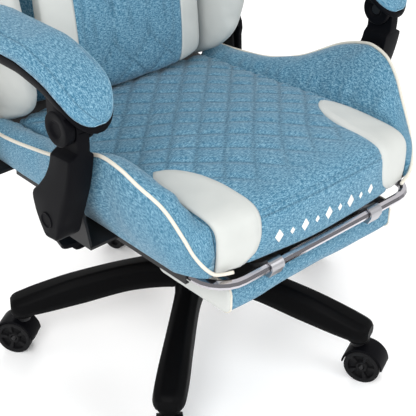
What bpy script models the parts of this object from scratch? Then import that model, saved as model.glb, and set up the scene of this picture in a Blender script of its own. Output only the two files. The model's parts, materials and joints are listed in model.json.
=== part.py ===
"""Gaming chair: racing-style seat and back, linked armrests, pull-out footrest, five-star castor base.

Units are metres, +Z is up, and the sitter faces -Y. The origin is on the floor, under the middle
of the chair's outer box. The column stands COLUMN_Y behind it. Base pieces are measured from the
floor; everything above the column is measured from the seat's underside, SEAT_Z above the floor;
and the backrest is measured from the recline axis, in a frame that leans back with it.
"""

import math

import bmesh
import bpy
import numpy as np
from mathutils import Matrix, Vector

# ---- Driving dimensions -------------------------------------------------------------------------

GAP = 0.0004                # clearance between pieces that rest on or turn in each other
COLUMN_Y = -0.023           # column axis, from the middle of the outer box

# Base and castors
BASE_RADIUS = 0.292         # column axis to castor stem
LEG_COUNT = 5
FIRST_LEG_DEG = 4.8
LEG_HALF_WIDTH = 0.025
LEG_HEIGHT = 0.034          # at the castor
LEG_ARCH = 0.030            # rise of the leg's underside towards the hub
HUB_RADIUS = 0.038
HUB_HEIGHT = 0.072
WHEEL_RADIUS = 0.030
WHEEL_WIDTH = 0.015
WHEEL_WEB = 0.010           # castor body between the twin wheels
AXLE_RADIUS = 0.004
STEM_RADIUS = 0.0055
CASTOR_TRAIL = 0.014
CASTOR_TOP = 0.018          # wheel top to leg underside, at the castor
CASTOR_YAWS = (0.0, 20.0, -25.0, 12.0, 0.0)

# Gas lift and its telescopic covers
LIFT_TRAVEL = 0.070
COLUMN_RADIUS = 0.025
CYLINDER_RADIUS = 0.014
COVER_WALL = 0.003
COVER_STEP = 0.0008         # air between one sleeve and the next
COLUMN_HEIGHT = 0.262       # leg underside to seat underside, lift down

# Under-seat mechanism
ROCK_MAX_DEG = 12.0
HOUSING_HALF_WIDTH = 0.080
HOUSING_FRONT = 0.092
HOUSING_REAR = 0.095
HOUSING_DROP = 0.074
PIN_RADIUS = 0.006
PLATE = 0.004               # pressed-steel thickness
KNOB_RADIUS = 0.021

# Seat
SEAT_REAR = 0.205           # column axis back to the rear edge
SEAT_FRONT = 0.263          # column axis forward to the front corners
FRONT_BOW = 0.021           # extra depth of the front edge at the middle
CUSHION_HALF = 0.1945       # half width of the centre panel
CUSHION_CROWN = 0.013
BOLSTER_REAR_HALF = 0.245   # half width over the bolsters, behind the hump
BOLSTER_HUMP_HALF = 0.2835  # half width over the bolsters, at the hump
BOLSTER_HUMP = 0.148        # height of the hump over the seat's underside
SEAT_TUBE = 0.011           # seat frame tube radius

# Footrest
RAIL_HALF = 0.205           # half the spacing of the sliding tubes
RAIL_TUBE = 0.007
RAIL_DROP = 0.0187          # tube centre below the seat underside
BAR_FRONT = 0.280
BAR_BEND = 0.045
RAIL_REAR = 0.100
FOOTREST_HALF = 0.172
FOOTREST_DEPTH = 0.156
FOOTREST_THICK = 0.048

# Backrest
BACK_LEAN_DEG = 6.0
RECLINE_Y = 0.235
RECLINE_HEIGHT = 0.080      # recline axis over the seat underside
BACK_HEIGHT = 0.800
BACK_HALF = 0.262           # widest half width over the wings
BACK_TUBE = 0.011
SIDE_GAP = 0.0095           # back wing to hinge plate
WING_CLEARANCE = 0.0025     # back wing above the seat bolster it stands over
PIVOT_RADIUS = 0.008

# Linked armrests
ARM_FRONT_PIVOT = (-0.061, 0.0435)  # lower pivot on the seat: y, height
ARM_LINK = (-0.050, 0.159)          # lower pivot to upper pivot: y, height
SUPPORT_THICK = 0.038
PAD_HALF = 0.041
PAD_LENGTH = 0.262
PAD_THICK = 0.025
TRAY_THICK = 0.021

# ---- Places worked out from them ----------------------------------------------------------------

LEG_Z = 2 * WHEEL_RADIUS + CASTOR_TOP
HUB_Z = LEG_Z + 0.7 * LEG_ARCH
HUB_TOP = HUB_Z + HUB_HEIGHT
SEAT_Z = LEG_Z + COLUMN_HEIGHT
LEAN = math.radians(BACK_LEAN_DEG)
ROCK_AXIS = Vector((0, -0.060, -0.025))
RECLINE_AXIS = Vector((0, RECLINE_Y, RECLINE_HEIGHT))
HINGE_PLATE_X = BACK_HALF + SIDE_GAP        # inner face of the backrest's hinge plates
RECLINE_BRACKET_X = HINGE_PLATE_X + PLATE + 3 * GAP
COVER_X = RECLINE_BRACKET_X + PLATE + 3 * GAP
SUPPORT_X = max(BOLSTER_HUMP_HALF + 0.0045, COVER_X)
SUPPORT_MID = SUPPORT_X + SUPPORT_THICK / 2
PAD_X = SUPPORT_X + SUPPORT_THICK - PAD_HALF + 0.005
FOOTREST_AXIS = Vector((0, -BAR_FRONT, -RAIL_DROP))


# ---- Scene and helpers --------------------------------------------------------------------------

for old in list(bpy.data.objects):
    bpy.data.objects.remove(old, do_unlink=True)

parts = bpy.data.collections.new("gaming_chair")
cutters = bpy.data.collections.new("cutters")
bpy.context.scene.collection.children.link(parts)
bpy.context.scene.collection.children.link(cutters)


def material(name, colour, roughness, metallic=0.0):
    made = bpy.data.materials.new(name)
    made.use_nodes = True
    shader = made.node_tree.nodes["Principled BSDF"]
    shader.inputs["Base Color"].default_value = (*colour, 1.0)
    shader.inputs["Roughness"].default_value = roughness
    shader.inputs["Metallic"].default_value = metallic
    return made


BLUE = material("heather_fabric", (0.16, 0.36, 0.50), 0.9)
WHITE = material("white_leatherette", (0.72, 0.74, 0.70), 0.45)
BLACK = material("black_plastic", (0.012, 0.012, 0.014), 0.45)
TREAD = material("castor_tread", (0.02, 0.02, 0.02), 0.6)
STEEL = material("black_steel", (0.02, 0.02, 0.02), 0.4, 0.6)
CHROME = material("chrome", (0.75, 0.75, 0.76), 0.12, 1.0)
BOARD = material("plywood", (0.45, 0.30, 0.17), 0.7)


def group(name, parent=None, at=(0, 0, 0), turn=(0, 0, 0)):
    """An empty that stands on a joint's axis, or at the datum of an assembly."""
    empty = bpy.data.objects.new(name, None)
    empty.empty_display_size = 0.03
    parts.objects.link(empty)
    empty.parent = parent
    empty.location = at
    empty.rotation_euler = turn
    return empty


def put(name, mesh, finish, parent, at=(0, 0, 0), turn=(0, 0, 0), smooth=True):
    mesh.materials.append(finish)
    if smooth:
        mesh.shade_smooth()
        mesh.set_sharp_from_angle(angle=math.radians(35))
    made = bpy.data.objects.new(name, mesh)
    parts.objects.link(made)
    made.parent = parent
    made.location = at
    made.rotation_euler = turn
    return made


def finish_mesh(name, bm):
    bmesh.ops.recalc_face_normals(bm, faces=bm.faces)
    mesh = bpy.data.meshes.new(name)
    bm.to_mesh(mesh)
    bm.free()
    return mesh


def box(name, low, high):
    """A box between two corners."""
    low, high = Vector(low), Vector(high)
    bm = bmesh.new()
    bmesh.ops.create_cube(bm, size=1.0)
    bmesh.ops.scale(bm, vec=high - low, verts=bm.verts)
    bmesh.ops.translate(bm, vec=(low + high) / 2, verts=bm.verts)
    return finish_mesh(name, bm)


def rod(name, start, end, radius, sides=20):
    """A round bar between two points."""
    start, end = Vector(start), Vector(end)
    along = end - start
    bm = bmesh.new()
    bmesh.ops.create_cone(
        bm, cap_ends=True, segments=sides, radius1=radius, radius2=radius, depth=along.length
    )
    place = Matrix.Translation((start + end) / 2) @ along.to_track_quat("Z", "Y").to_matrix().to_4x4()
    bmesh.ops.transform(bm, matrix=place, verts=bm.verts)
    return finish_mesh(name, bm)


def loft(name, rings):
    """A closed skin over rings that have the same number of points, with both ends capped."""
    bm = bmesh.new()
    rows = [[bm.verts.new(point) for point in ring] for ring in rings]
    count = len(rows[0])
    for low, high in zip(rows[:-1], rows[1:]):
        for i in range(count):
            j = (i + 1) % count
            bm.faces.new((low[i], low[j], high[j], high[i]))
    bm.faces.new(rows[0])
    bm.faces.new(rows[-1])
    return finish_mesh(name, bm)


def plate(name, outline, low, high, hole=None):
    """A flat outline of (y, z) points, cut from sheet between x = low and x = high."""
    curve = bpy.data.curves.new(name, "CURVE")
    curve.dimensions = "2D"
    curve.fill_mode = "BOTH"
    curve.extrude = abs(high - low) / 2
    for loop in [outline] + ([hole] if hole else []):
        spline = curve.splines.new("POLY")
        spline.points.add(len(loop) - 1)
        spline.points.foreach_set("co", [c for y, z in loop for c in (y, z, 0.0, 1.0)])
        spline.use_cyclic_u = True
    holder = bpy.data.objects.new(name, curve)
    cutters.objects.link(holder)
    graph = bpy.context.evaluated_depsgraph_get()
    mesh = bpy.data.meshes.new_from_object(holder.evaluated_get(graph))
    bpy.data.objects.remove(holder, do_unlink=True)
    bm = bmesh.new()
    bm.from_mesh(mesh)
    bpy.data.meshes.remove(mesh)
    bmesh.ops.remove_doubles(bm, verts=bm.verts, dist=1e-6)
    # The curve's own X, Y and Z become Y, Z and X.
    turn = Matrix(((0, 0, 1, (low + high) / 2), (1, 0, 0, 0), (0, 1, 0, 0), (0, 0, 0, 1)))
    bmesh.ops.transform(bm, matrix=turn, verts=bm.verts)
    return finish_mesh(name, bm)


def circle(centre, radius, sides=16, start=0.0, sweep=360.0):
    """Points on an arc of (y, z); a full circle leaves out the repeated last point."""
    steps = sides if sweep < 360 else sides - 1
    turns = np.radians(start + sweep * np.arange(steps + 1) / sides)
    return [(centre[0] + radius * math.cos(a), centre[1] + radius * math.sin(a)) for a in turns]


def rounded_rectangle(low, high, radius, steps=4):
    """A rectangle between two (a, b) corners, with quarter-round corners."""
    centres = [
        (high[0] - radius, high[1] - radius, 0),
        (low[0] + radius, high[1] - radius, 90),
        (low[0] + radius, low[1] + radius, 180),
        (high[0] - radius, low[1] + radius, 270),
    ]
    return [p for a, b, start in centres for p in circle((a, b), radius, steps, start, 90)]


def turned(name, profile, finish, parent, steps=24, at=(0, 0, 0), turn=(0, 0, 0), closed=True):
    """A profile of (radius, z) points, running down its outer side, turned round Z."""
    edges = [(i, i + 1) for i in range(len(profile) - 1)]
    if closed:
        edges.append((len(profile) - 1, 0))
    mesh = bpy.data.meshes.new(name)
    mesh.from_pydata([(r, 0, z) for r, z in profile], edges, [])
    made = put(name, mesh, finish, parent, at, turn, smooth=False)
    screw = made.modifiers.new("turn", "SCREW")
    screw.steps = screw.render_steps = steps
    screw.use_merge_vertices = True
    screw.merge_threshold = 1e-5
    screw.use_smooth_shade = True
    return made


def tube(name, points, radius, finish, parent, at=(0, 0, 0), resolution=2, cyclic=False):
    """A bent round tube through points that are already rounded off at the bends."""
    curve = bpy.data.curves.new(name, "CURVE")
    curve.dimensions = "3D"
    curve.bevel_depth = radius
    curve.bevel_resolution = resolution
    curve.use_fill_caps = True
    curve.materials.append(finish)
    spline = curve.splines.new("POLY")
    spline.points.add(len(points) - 1)
    spline.points.foreach_set("co", [c for p in points for c in (*p, 1.0)])
    spline.use_cyclic_u = cyclic
    made = bpy.data.objects.new(name, curve)
    parts.objects.link(made)
    made.parent = parent
    made.location = at
    return made


def bend(points, radius, steps=4):
    """A path of straight runs with each inner corner rounded to a radius."""
    path = [Vector(points[0])]
    for before, corner, after in zip(points[:-2], points[1:-1], points[2:]):
        corner = Vector(corner)
        back = (Vector(before) - corner).normalized()
        ahead = (Vector(after) - corner).normalized()
        half = back.angle(ahead) / 2
        reach = radius / math.tan(half)
        centre = corner + (back + ahead).normalized() * radius / math.sin(half)
        start = corner + back * reach - centre
        end = corner + ahead * reach - centre
        for i in range(steps + 1):
            path.append(centre + start.slerp(end, i / steps) * radius / start.slerp(end, i / steps).length)
    path.append(Vector(points[-1]))
    return path


def combine(made, operation, mesh, at=(0, 0, 0), turn=(0, 0, 0)):
    """Cut a mesh from a piece, or join it on. The mesh is in the piece's own frame."""
    tool = bpy.data.objects.new(made.name + "_" + operation.lower(), mesh)
    cutters.objects.link(tool)
    tool.parent = made
    tool.location = at
    tool.rotation_euler = turn
    tool.hide_render = True
    tool.display_type = "WIRE"
    step = made.modifiers.new(operation.lower(), "BOOLEAN")
    step.operation = operation
    step.object = tool
    return made


def joined(name, meshes):
    """Several closed meshes as one, for a cutter of many pieces."""
    bm = bmesh.new()
    for mesh in meshes:
        bm.from_mesh(mesh)
        bpy.data.meshes.remove(mesh)
    mesh = bpy.data.meshes.new(name)
    bm.to_mesh(mesh)
    bm.free()
    return mesh


def smooth_path(stations, values):
    """A curve through (station, value) pairs with no overshoot: a cubic with limited slopes."""
    stations = np.array(stations, float)
    values = np.array(values, float)
    step = np.diff(stations)
    slope = np.diff(values) / step
    tangent = np.zeros_like(values)
    same = slope[:-1] * slope[1:] > 0
    weight = 2 * slope[:-1] * slope[1:] / np.where(same, slope[:-1] + slope[1:], 1.0)
    tangent[1:-1] = np.where(same, weight, 0.0)
    tangent[0], tangent[-1] = slope[0], slope[-1]

    def value(x):
        x = min(max(x, stations[0]), stations[-1])
        i = int(min(np.searchsorted(stations, x, "right") - 1, len(step) - 1))
        t = (x - stations[i]) / step[i]
        return float(
            values[i] * (1 + 2 * t) * (1 - t) ** 2
            + values[i + 1] * t * t * (3 - 2 * t)
            + step[i] * (tangent[i] * t * (1 - t) ** 2 - tangent[i + 1] * t * t * (1 - t))
        )

    return value


# ---- Base ---------------------------------------------------------------------------------------

chair = group("chair", at=(0, COLUMN_Y, 0))
seat_datum = group("seat_datum", chair, (0, 0, SEAT_Z))


def leg_rings(angle):
    """Sections of one leg: a rounded-top bar, deep at the hub, that arches down to the castor."""
    out = Vector((math.cos(angle), math.sin(angle), 0))
    side = Vector((-out.y, out.x, 0))
    tip = BASE_RADIUS + 0.020
    rings = []
    arch, deep = LEG_ARCH, LEG_HEIGHT + LEG_ARCH
    for r, width, top, bottom in (
        (HUB_RADIUS - 0.006, 0.80, deep + 0.015, arch),
        (BASE_RADIUS * 0.35, 0.84, deep + 0.011, 0.92 * arch),
        (BASE_RADIUS * 0.68, 0.96, deep - 0.004, 0.40 * arch),
        (BASE_RADIUS * 0.92, 1.06, deep - 0.023, 0.08 * arch),
        (BASE_RADIUS, 1.04, LEG_HEIGHT - 0.001, 0.0),
        (tip - 0.006, 0.88, LEG_HEIGHT - 0.006, 0.001),
        (tip, 0.55, LEG_HEIGHT - 0.012, 0.005),
    ):
        half = LEG_HALF_WIDTH * width
        low, high = LEG_Z + bottom, LEG_Z + top
        section = [
            (-0.88 * half, low), (0.88 * half, low), (half, low + 0.3 * (high - low)),
            (0.86 * half, low + 0.78 * (high - low)), (0.45 * half, high),
            (-0.45 * half, high), (-0.86 * half, low + 0.78 * (high - low)),
            (-half, low + 0.3 * (high - low)),
        ]
        rings.append([out * r + side * s + Vector((0, 0, z)) for s, z in section])
    return rings


def leg_angles():
    return [math.radians(FIRST_LEG_DEG + 360 / LEG_COUNT * i) for i in range(LEG_COUNT)]


def make_base():
    bore = COLUMN_RADIUS + GAP
    base = turned(
        "star_base",
        [
            (HUB_RADIUS - 0.006, HUB_TOP), (HUB_RADIUS, HUB_TOP - 0.010), (HUB_RADIUS, HUB_Z + 0.004),
            (HUB_RADIUS - 0.004, HUB_Z), (bore, HUB_Z), (bore, HUB_TOP),
        ],
        BLACK, chair,
    )
    combine(base, "UNION", joined("legs", [loft("leg", leg_rings(a)) for a in leg_angles()]))
    foot = LEG_Z - 0.006
    ends = [Vector((math.cos(a), math.sin(a), 0)) * BASE_RADIUS for a in leg_angles()]
    up = Vector((0, 0, 1))
    bosses = [rod("boss", p + up * foot, p + up * (LEG_Z + 0.012), 0.019) for p in ends]
    combine(base, "UNION", joined("bosses", bosses))
    socket_top = LEG_Z + 0.6 * LEG_HEIGHT
    sockets = [
        rod("socket", p + up * (foot - 0.01), p + up * socket_top, STEM_RADIUS + GAP, 12) for p in ends
    ]
    combine(base, "DIFFERENCE", joined("sockets", sockets))
    return foot, socket_top


def make_column():
    top = SEAT_Z - HOUSING_DROP - COVER_STEP
    bore = CYLINDER_RADIUS + GAP
    floor_gap = HUB_Z - 0.006
    turned(
        "gas_column",
        [
            (0, floor_gap + 0.012), (bore, floor_gap + 0.012), (bore, top - 0.020),
            (COLUMN_RADIUS, top - 0.020), (COLUMN_RADIUS, floor_gap), (0, floor_gap),
        ],
        STEEL, chair, closed=False,
    )
    lift = group("lift_axis", chair)
    turned(
        "gas_cylinder",
        [
            (0, SEAT_Z + ROCK_AXIS.z - PIN_RADIUS - 0.004),
            (CYLINDER_RADIUS, SEAT_Z + ROCK_AXIS.z - PIN_RADIUS - 0.004),
            (CYLINDER_RADIUS, floor_gap + 0.018), (0, floor_gap + 0.018),
        ],
        CHROME, lift, closed=False,
    )
    sleeves = (
        ("column_cover_lower", HUB_TOP + GAP, top - 0.026, chair),
        ("column_cover_middle", HUB_TOP + 0.012, top - 0.013, group("sleeve_axis", chair)),
        ("column_cover_upper", HUB_TOP + 0.026, top, chair),
    )
    inner = COLUMN_RADIUS + COVER_STEP
    for name, low, high, parent in sleeves:
        outer = inner + COVER_WALL
        ring = [(outer, high), (outer, low), (inner, low), (inner, high)]
        turned(name, ring, BLACK, parent)
        inner = outer + COVER_STEP


def castor_body(top, stem_top):
    """One closed body: hood over both wheels, web between them, axle and stem."""
    centre = (CASTOR_TRAIL, WHEEL_RADIUS)
    inner, outer = WHEEL_RADIUS + 0.0015, WHEEL_RADIUS + 0.0045
    half = WHEEL_WEB / 2 + WHEEL_WIDTH
    hood = circle(centre, outer, 12, 5, 170) + circle(centre, inner, 12, 175, -170)
    body = plate("castor_body", hood, -half, half)
    fin = circle(centre, inner + 0.0012, 12, 5, 170) + circle(centre, 0.4 * WHEEL_RADIUS, 8, 190, 160)
    web = plate("web", fin, 0.001 - WHEEL_WEB / 2, WHEEL_WEB / 2 - 0.001)
    axle = rod("axle", (-half, *centre), (half, *centre), AXLE_RADIUS, 12)
    roof = WHEEL_RADIUS + inner - 0.0003
    collar = rod("collar", (0, 0, roof), (0, 0, top - 2 * GAP), 0.011, 16)
    stem = rod("stem", (0, 0, roof), (0, 0, stem_top), STEM_RADIUS, 12)
    return body, (web, axle, collar, stem)


def make_castors(foot, socket_top):
    inner = WHEEL_WEB / 2 + GAP
    outer = WHEEL_WEB / 2 + WHEEL_WIDTH - GAP
    bore = AXLE_RADIUS + GAP
    hub = 0.45 * WHEEL_RADIUS
    rim = 0.80 * WHEEL_RADIUS
    tread = [
        (hub, outer), (hub + 0.002, outer - 0.004), (rim, outer - 0.004), (rim + 0.002, outer),
        (WHEEL_RADIUS - 0.002, outer), (WHEEL_RADIUS, outer - 0.003), (WHEEL_RADIUS, inner + 0.001),
        (WHEEL_RADIUS - 0.001, inner), (bore, inner), (bore, outer),
    ]
    for i, (angle, yaw) in enumerate(zip(leg_angles(), CASTOR_YAWS), 1):
        stem = (BASE_RADIUS * math.cos(angle), BASE_RADIUS * math.sin(angle), 0)
        heading = angle + math.radians(yaw) - math.pi / 2
        castor = group(f"castor_axis_{i}", chair, stem, (0, 0, heading))
        body, extras = castor_body(foot, socket_top - 2 * GAP)
        housing = put(f"castor_body_{i}", body, BLACK, castor)
        for mesh in extras:
            combine(housing, "UNION", mesh)
        axle = group(f"axle_{i}", castor, (0, CASTOR_TRAIL, WHEEL_RADIUS))
        for side, turn in (("a", math.pi / 2), ("b", -math.pi / 2)):
            turned(f"castor_wheel_{i}_{side}", tread, TREAD, axle, 20, turn=(0, turn, 0))


# ---- Mechanism under the seat -------------------------------------------------------------------


def make_mechanism():
    wedge = math.tan(math.radians(ROCK_MAX_DEG + 1.0))
    deck = -PLATE - 0.0025
    shoulder = ROCK_AXIS.y + 0.005
    profile = [
        (-HOUSING_FRONT, deck), (-HOUSING_FRONT, -0.6 * HOUSING_DROP), (-0.6 * HOUSING_FRONT, -HOUSING_DROP),
        (0.8 * HOUSING_REAR, -HOUSING_DROP), (HOUSING_REAR, -0.85 * HOUSING_DROP),
        (HOUSING_REAR, deck - wedge * (HOUSING_REAR - shoulder)), (shoulder, deck),
    ]
    half = HOUSING_HALF_WIDTH
    housing = put("tilt_housing", plate("tilt_housing", profile, -half, half), STEEL, seat_datum)
    top = ROCK_AXIS.z - PIN_RADIUS - 0.003
    combine(housing, "DIFFERENCE", rod("taper", (0, 0, -1.2 * HOUSING_DROP), (0, 0, top), CYLINDER_RADIUS + GAP))
    pin_end = half + PLATE + 0.007
    span = Vector((pin_end, 0, 0))
    combine(housing, "DIFFERENCE", rod("pin", ROCK_AXIS - span, ROCK_AXIS + span, PIN_RADIUS + GAP, 16))
    knob_y = -(KNOB_RADIUS + COLUMN_RADIUS + 3 * (COVER_WALL + COVER_STEP) + 0.006) - 0.001
    well_top = ROCK_AXIS.z - PIN_RADIUS - 0.004
    well = rod("well", (0, knob_y, -1.2 * HOUSING_DROP), (0, knob_y, well_top), 0.0165)
    combine(housing, "DIFFERENCE", well)
    put("tilt_pin", rod("tilt_pin", ROCK_AXIS - span, ROCK_AXIS + span, PIN_RADIUS, 16), CHROME, seat_datum)

    turns, per_turn, wire = 5, 10, 0.0017
    low, high = -HOUSING_DROP + 0.004, well_top - 0.003
    coil = []
    for i in range(turns * per_turn + 1):
        a = 2 * math.pi * i / per_turn
        z = low + (high - low) * i / (turns * per_turn)
        coil.append((0.0125 * math.cos(a), knob_y + 0.0125 * math.sin(a), z))
    tube("tilt_spring", coil, wire, STEEL, seat_datum, resolution=0)

    knob = group("knob_axis", seat_datum, (0, knob_y, 0))
    neck = -HOUSING_DROP - 0.026
    turned(
        "tension_knob",
        [
            (0, well_top - 0.004), (0.005, well_top - 0.004), (0.005, neck + 0.002), (0.012, neck),
            (KNOB_RADIUS, neck - 0.004), (KNOB_RADIUS, neck - 0.021), (0.8 * KNOB_RADIUS, neck - 0.024),
            (0, neck - 0.024),
        ],
        BLACK, knob, 20, closed=False,
    )
    make_height_lever(half)


def make_height_lever(half):
    """A rod out to the sitter's right, with a flat paddle, hinged just outside the housing."""
    pivot = Vector((-half - 0.010, -0.014, -0.042))
    lever = group("height_lever_axis", seat_datum, pivot)
    reach = BOLSTER_REAR_HALF - 0.006 - half
    barrel = rod("height_lever", (0, -0.012, 0), (0, 0.012, 0), 0.007, 12)
    arm = put("height_lever", barrel, BLACK, lever)
    path = bend([(0.001, 0, 0), (-0.030, 0, -0.016), (-reach, 0, -0.016), (-reach, 0, 0.003)], 0.008, 3)
    rings = []
    for before, point, after in zip([path[0]] + path[:-1], path, path[1:] + [path[-1]]):
        along = (after - before).normalized()
        across = along.cross(Vector((0, 1, 0)))
        turns = [2 * math.pi * k / 12 for k in range(12)]
        rings.append([point + 0.0045 * (Vector((0, math.cos(a), 0)) + across * math.sin(a)) for a in turns])
    combine(arm, "UNION", loft("arm", rings))
    outline = rounded_rectangle((-0.018, -0.024), (0.018, 0.024), 0.007)
    paddle = plate("paddle", outline, -0.003, 0.003)
    combine(arm, "UNION", paddle, (-reach, 0, 0.002), (0, -math.pi / 2, math.radians(-14)))


# ---- Seat ---------------------------------------------------------------------------------------

rock = group("rock_axis", seat_datum, ROCK_AXIS)
SEAT_SHIFT = -ROCK_AXIS     # seat pieces are measured from the seat datum and hang on the rock axis

LOOP_HALF = CUSHION_HALF - 0.0085
LOOP_FRONT = -(SEAT_FRONT - 0.025)
LOOP_REAR = SEAT_REAR - 0.017


def make_seat_frame():
    outline = rounded_rectangle((-LOOP_HALF, LOOP_FRONT), (LOOP_HALF, LOOP_REAR), 0.050)
    loop = [(x, y, SEAT_TUBE) for x, y in outline]
    tube("seat_frame", loop, SEAT_TUBE, STEEL, rock, SEAT_SHIFT, 1, cyclic=True)
    inset = SEAT_TUBE + 0.003
    outline = rounded_rectangle(
        (-LOOP_HALF + inset, LOOP_FRONT + inset), (LOOP_HALF - inset, LOOP_REAR - inset), 0.050 - inset
    )
    rings = [[(x, y, z) for x, y in outline] for z in (GAP, 0.009)]
    put("seat_board", loft("seat_board", rings), BOARD, rock, SEAT_SHIFT)

    half = HOUSING_HALF_WIDTH + 0.020
    base = box("seat_plate", (-half, -HOUSING_FRONT - 0.008, -PLATE - GAP), (half, HOUSING_REAR + 0.015, -GAP))
    mount = put("seat_plate", base, STEEL, rock, SEAT_SHIFT)
    for side in (-1, 1):
        inner = HOUSING_HALF_WIDTH + 0.0015
        ear = [(ROCK_AXIS.y - 0.020, -PLATE / 2), (ROCK_AXIS.y - 0.014, ROCK_AXIS.z - 0.014)]
        ear += [(ROCK_AXIS.y + 0.014, ROCK_AXIS.z - 0.014), (ROCK_AXIS.y + 0.020, -PLATE / 2)]
        hole = circle((ROCK_AXIS.y, ROCK_AXIS.z), PIN_RADIUS + GAP, 16)
        combine(mount, "UNION", plate("ear", ear, side * inner, side * (inner + PLATE), hole))


def cushion_ring(x):
    """The centre panel's section at one x: flat underneath, crowned on top, rolled over in front."""
    crown = 1 - (x / CUSHION_HALF) ** 2
    rise = CUSHION_CROWN * crown
    front = -SEAT_FRONT - FRONT_BOW * crown
    under = 2 * SEAT_TUBE + 0.001
    apron = LOOP_FRONT - SEAT_TUBE - 0.003
    return [
        (x, SEAT_REAR - 0.002, under), (x, SEAT_REAR - 0.002, 0.045), (x, SEAT_REAR - 0.012, 0.056 + 0.5 * rise),
        (x, 0.110, 0.062 + rise), (x, 0.000, 0.069 + rise), (x, -0.100, 0.0755 + rise),
        (x, -0.200, 0.0745 + rise), (x, front + 0.030, 0.0725 + rise), (x, front + 0.010, 0.065 + 0.8 * rise),
        (x, front + 0.002, 0.052 + 0.6 * rise), (x, front, 0.030), (x, front + 0.004, 0.004),
        (x, apron, 0.004), (x, apron, under),
    ]


def piping():
    """Half width and height of the bolster's top edge along Y, from front to rear."""
    hump, rear = BOLSTER_HUMP_HALF, BOLSTER_REAR_HALF
    y = [-SEAT_FRONT, -0.252, -0.239, -0.210, -0.183, -0.155, -0.121, -0.093, -0.049, 0.018, 0.069, SEAT_REAR]
    half = [
        0.865 * rear, 0.910 * rear, 0.935 * rear, 0.984 * rear, 1.045 * rear, 1.082 * rear,
        rear + 0.68 * (hump - rear), hump - 0.0045, hump, rear + 0.012, rear + 0.002, rear - 0.002,
    ]
    share = [0.05, 0.22, 0.385, 0.655, 0.824, 0.953, 1.0, 0.953, 0.845, 0.601, 0.490, 0.378]
    return smooth_path(y, half), smooth_path(y, [BOLSTER_HUMP * s for s in share])


def bolster_ring(y, side, half_at, height_at):
    """A bolster's section at one y, from its inner foot out, up and back to the crease."""
    half, height = half_at(y), height_at(y)
    crease_x = CUSHION_HALF + 0.002
    foot_x = LOOP_HALF + SEAT_TUBE + 0.0015
    crease = smooth_path((-SEAT_FRONT, -0.258, -0.250, -0.200, SEAT_REAR), (0.030, 0.058, 0.072, 0.074, 0.054))(y)
    low_x = min(BOLSTER_REAR_HALF - 0.0125, half - 0.004)
    over = np.array([(half, height), (crease_x, crease)])
    bulge = min(0.012, 0.30 * abs(half - crease_x))
    section = [
        (foot_x, -0.003), (low_x, -0.003),
        (0.5 * (low_x + half) + 0.004, 0.5 * height), (half, height),
        (over[0][0] * 0.72 + over[1][0] * 0.28, over[0][1] * 0.72 + over[1][1] * 0.28 + bulge),
        (over[0][0] * 0.36 + over[1][0] * 0.64, over[0][1] * 0.36 + over[1][1] * 0.64 + 0.8 * bulge),
        (crease_x, crease), (crease_x, 2 * SEAT_TUBE + 0.002), (foot_x, 2 * SEAT_TUBE + 0.001),
    ]
    return [(side * x, y, z) for x, z in section]


def make_cushions():
    stations = [-0.999, -0.94, -0.7, -0.35, 0.0, 0.35, 0.7, 0.94, 0.999]
    rings = [cushion_ring(CUSHION_HALF * s) for s in stations]
    put("seat_cushion", loft("seat_cushion", rings), BLUE, rock, SEAT_SHIFT)
    half_at, height_at = piping()
    ys = [SEAT_REAR, 0.14, 0.07, 0.02, -0.015, -0.05, -0.085, -0.12, -0.15, -0.18, -0.21, -0.235, -0.252]
    ys.append(-SEAT_FRONT + 0.001)
    for side, label in ((-1, "right"), (1, "left")):
        rings = [bolster_ring(y, side, half_at, height_at) for y in ys]
        name = f"seat_bolster_{label}"
        put(name, loft(name, rings), BLUE, rock, SEAT_SHIFT)


# ---- Footrest -----------------------------------------------------------------------------------


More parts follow.
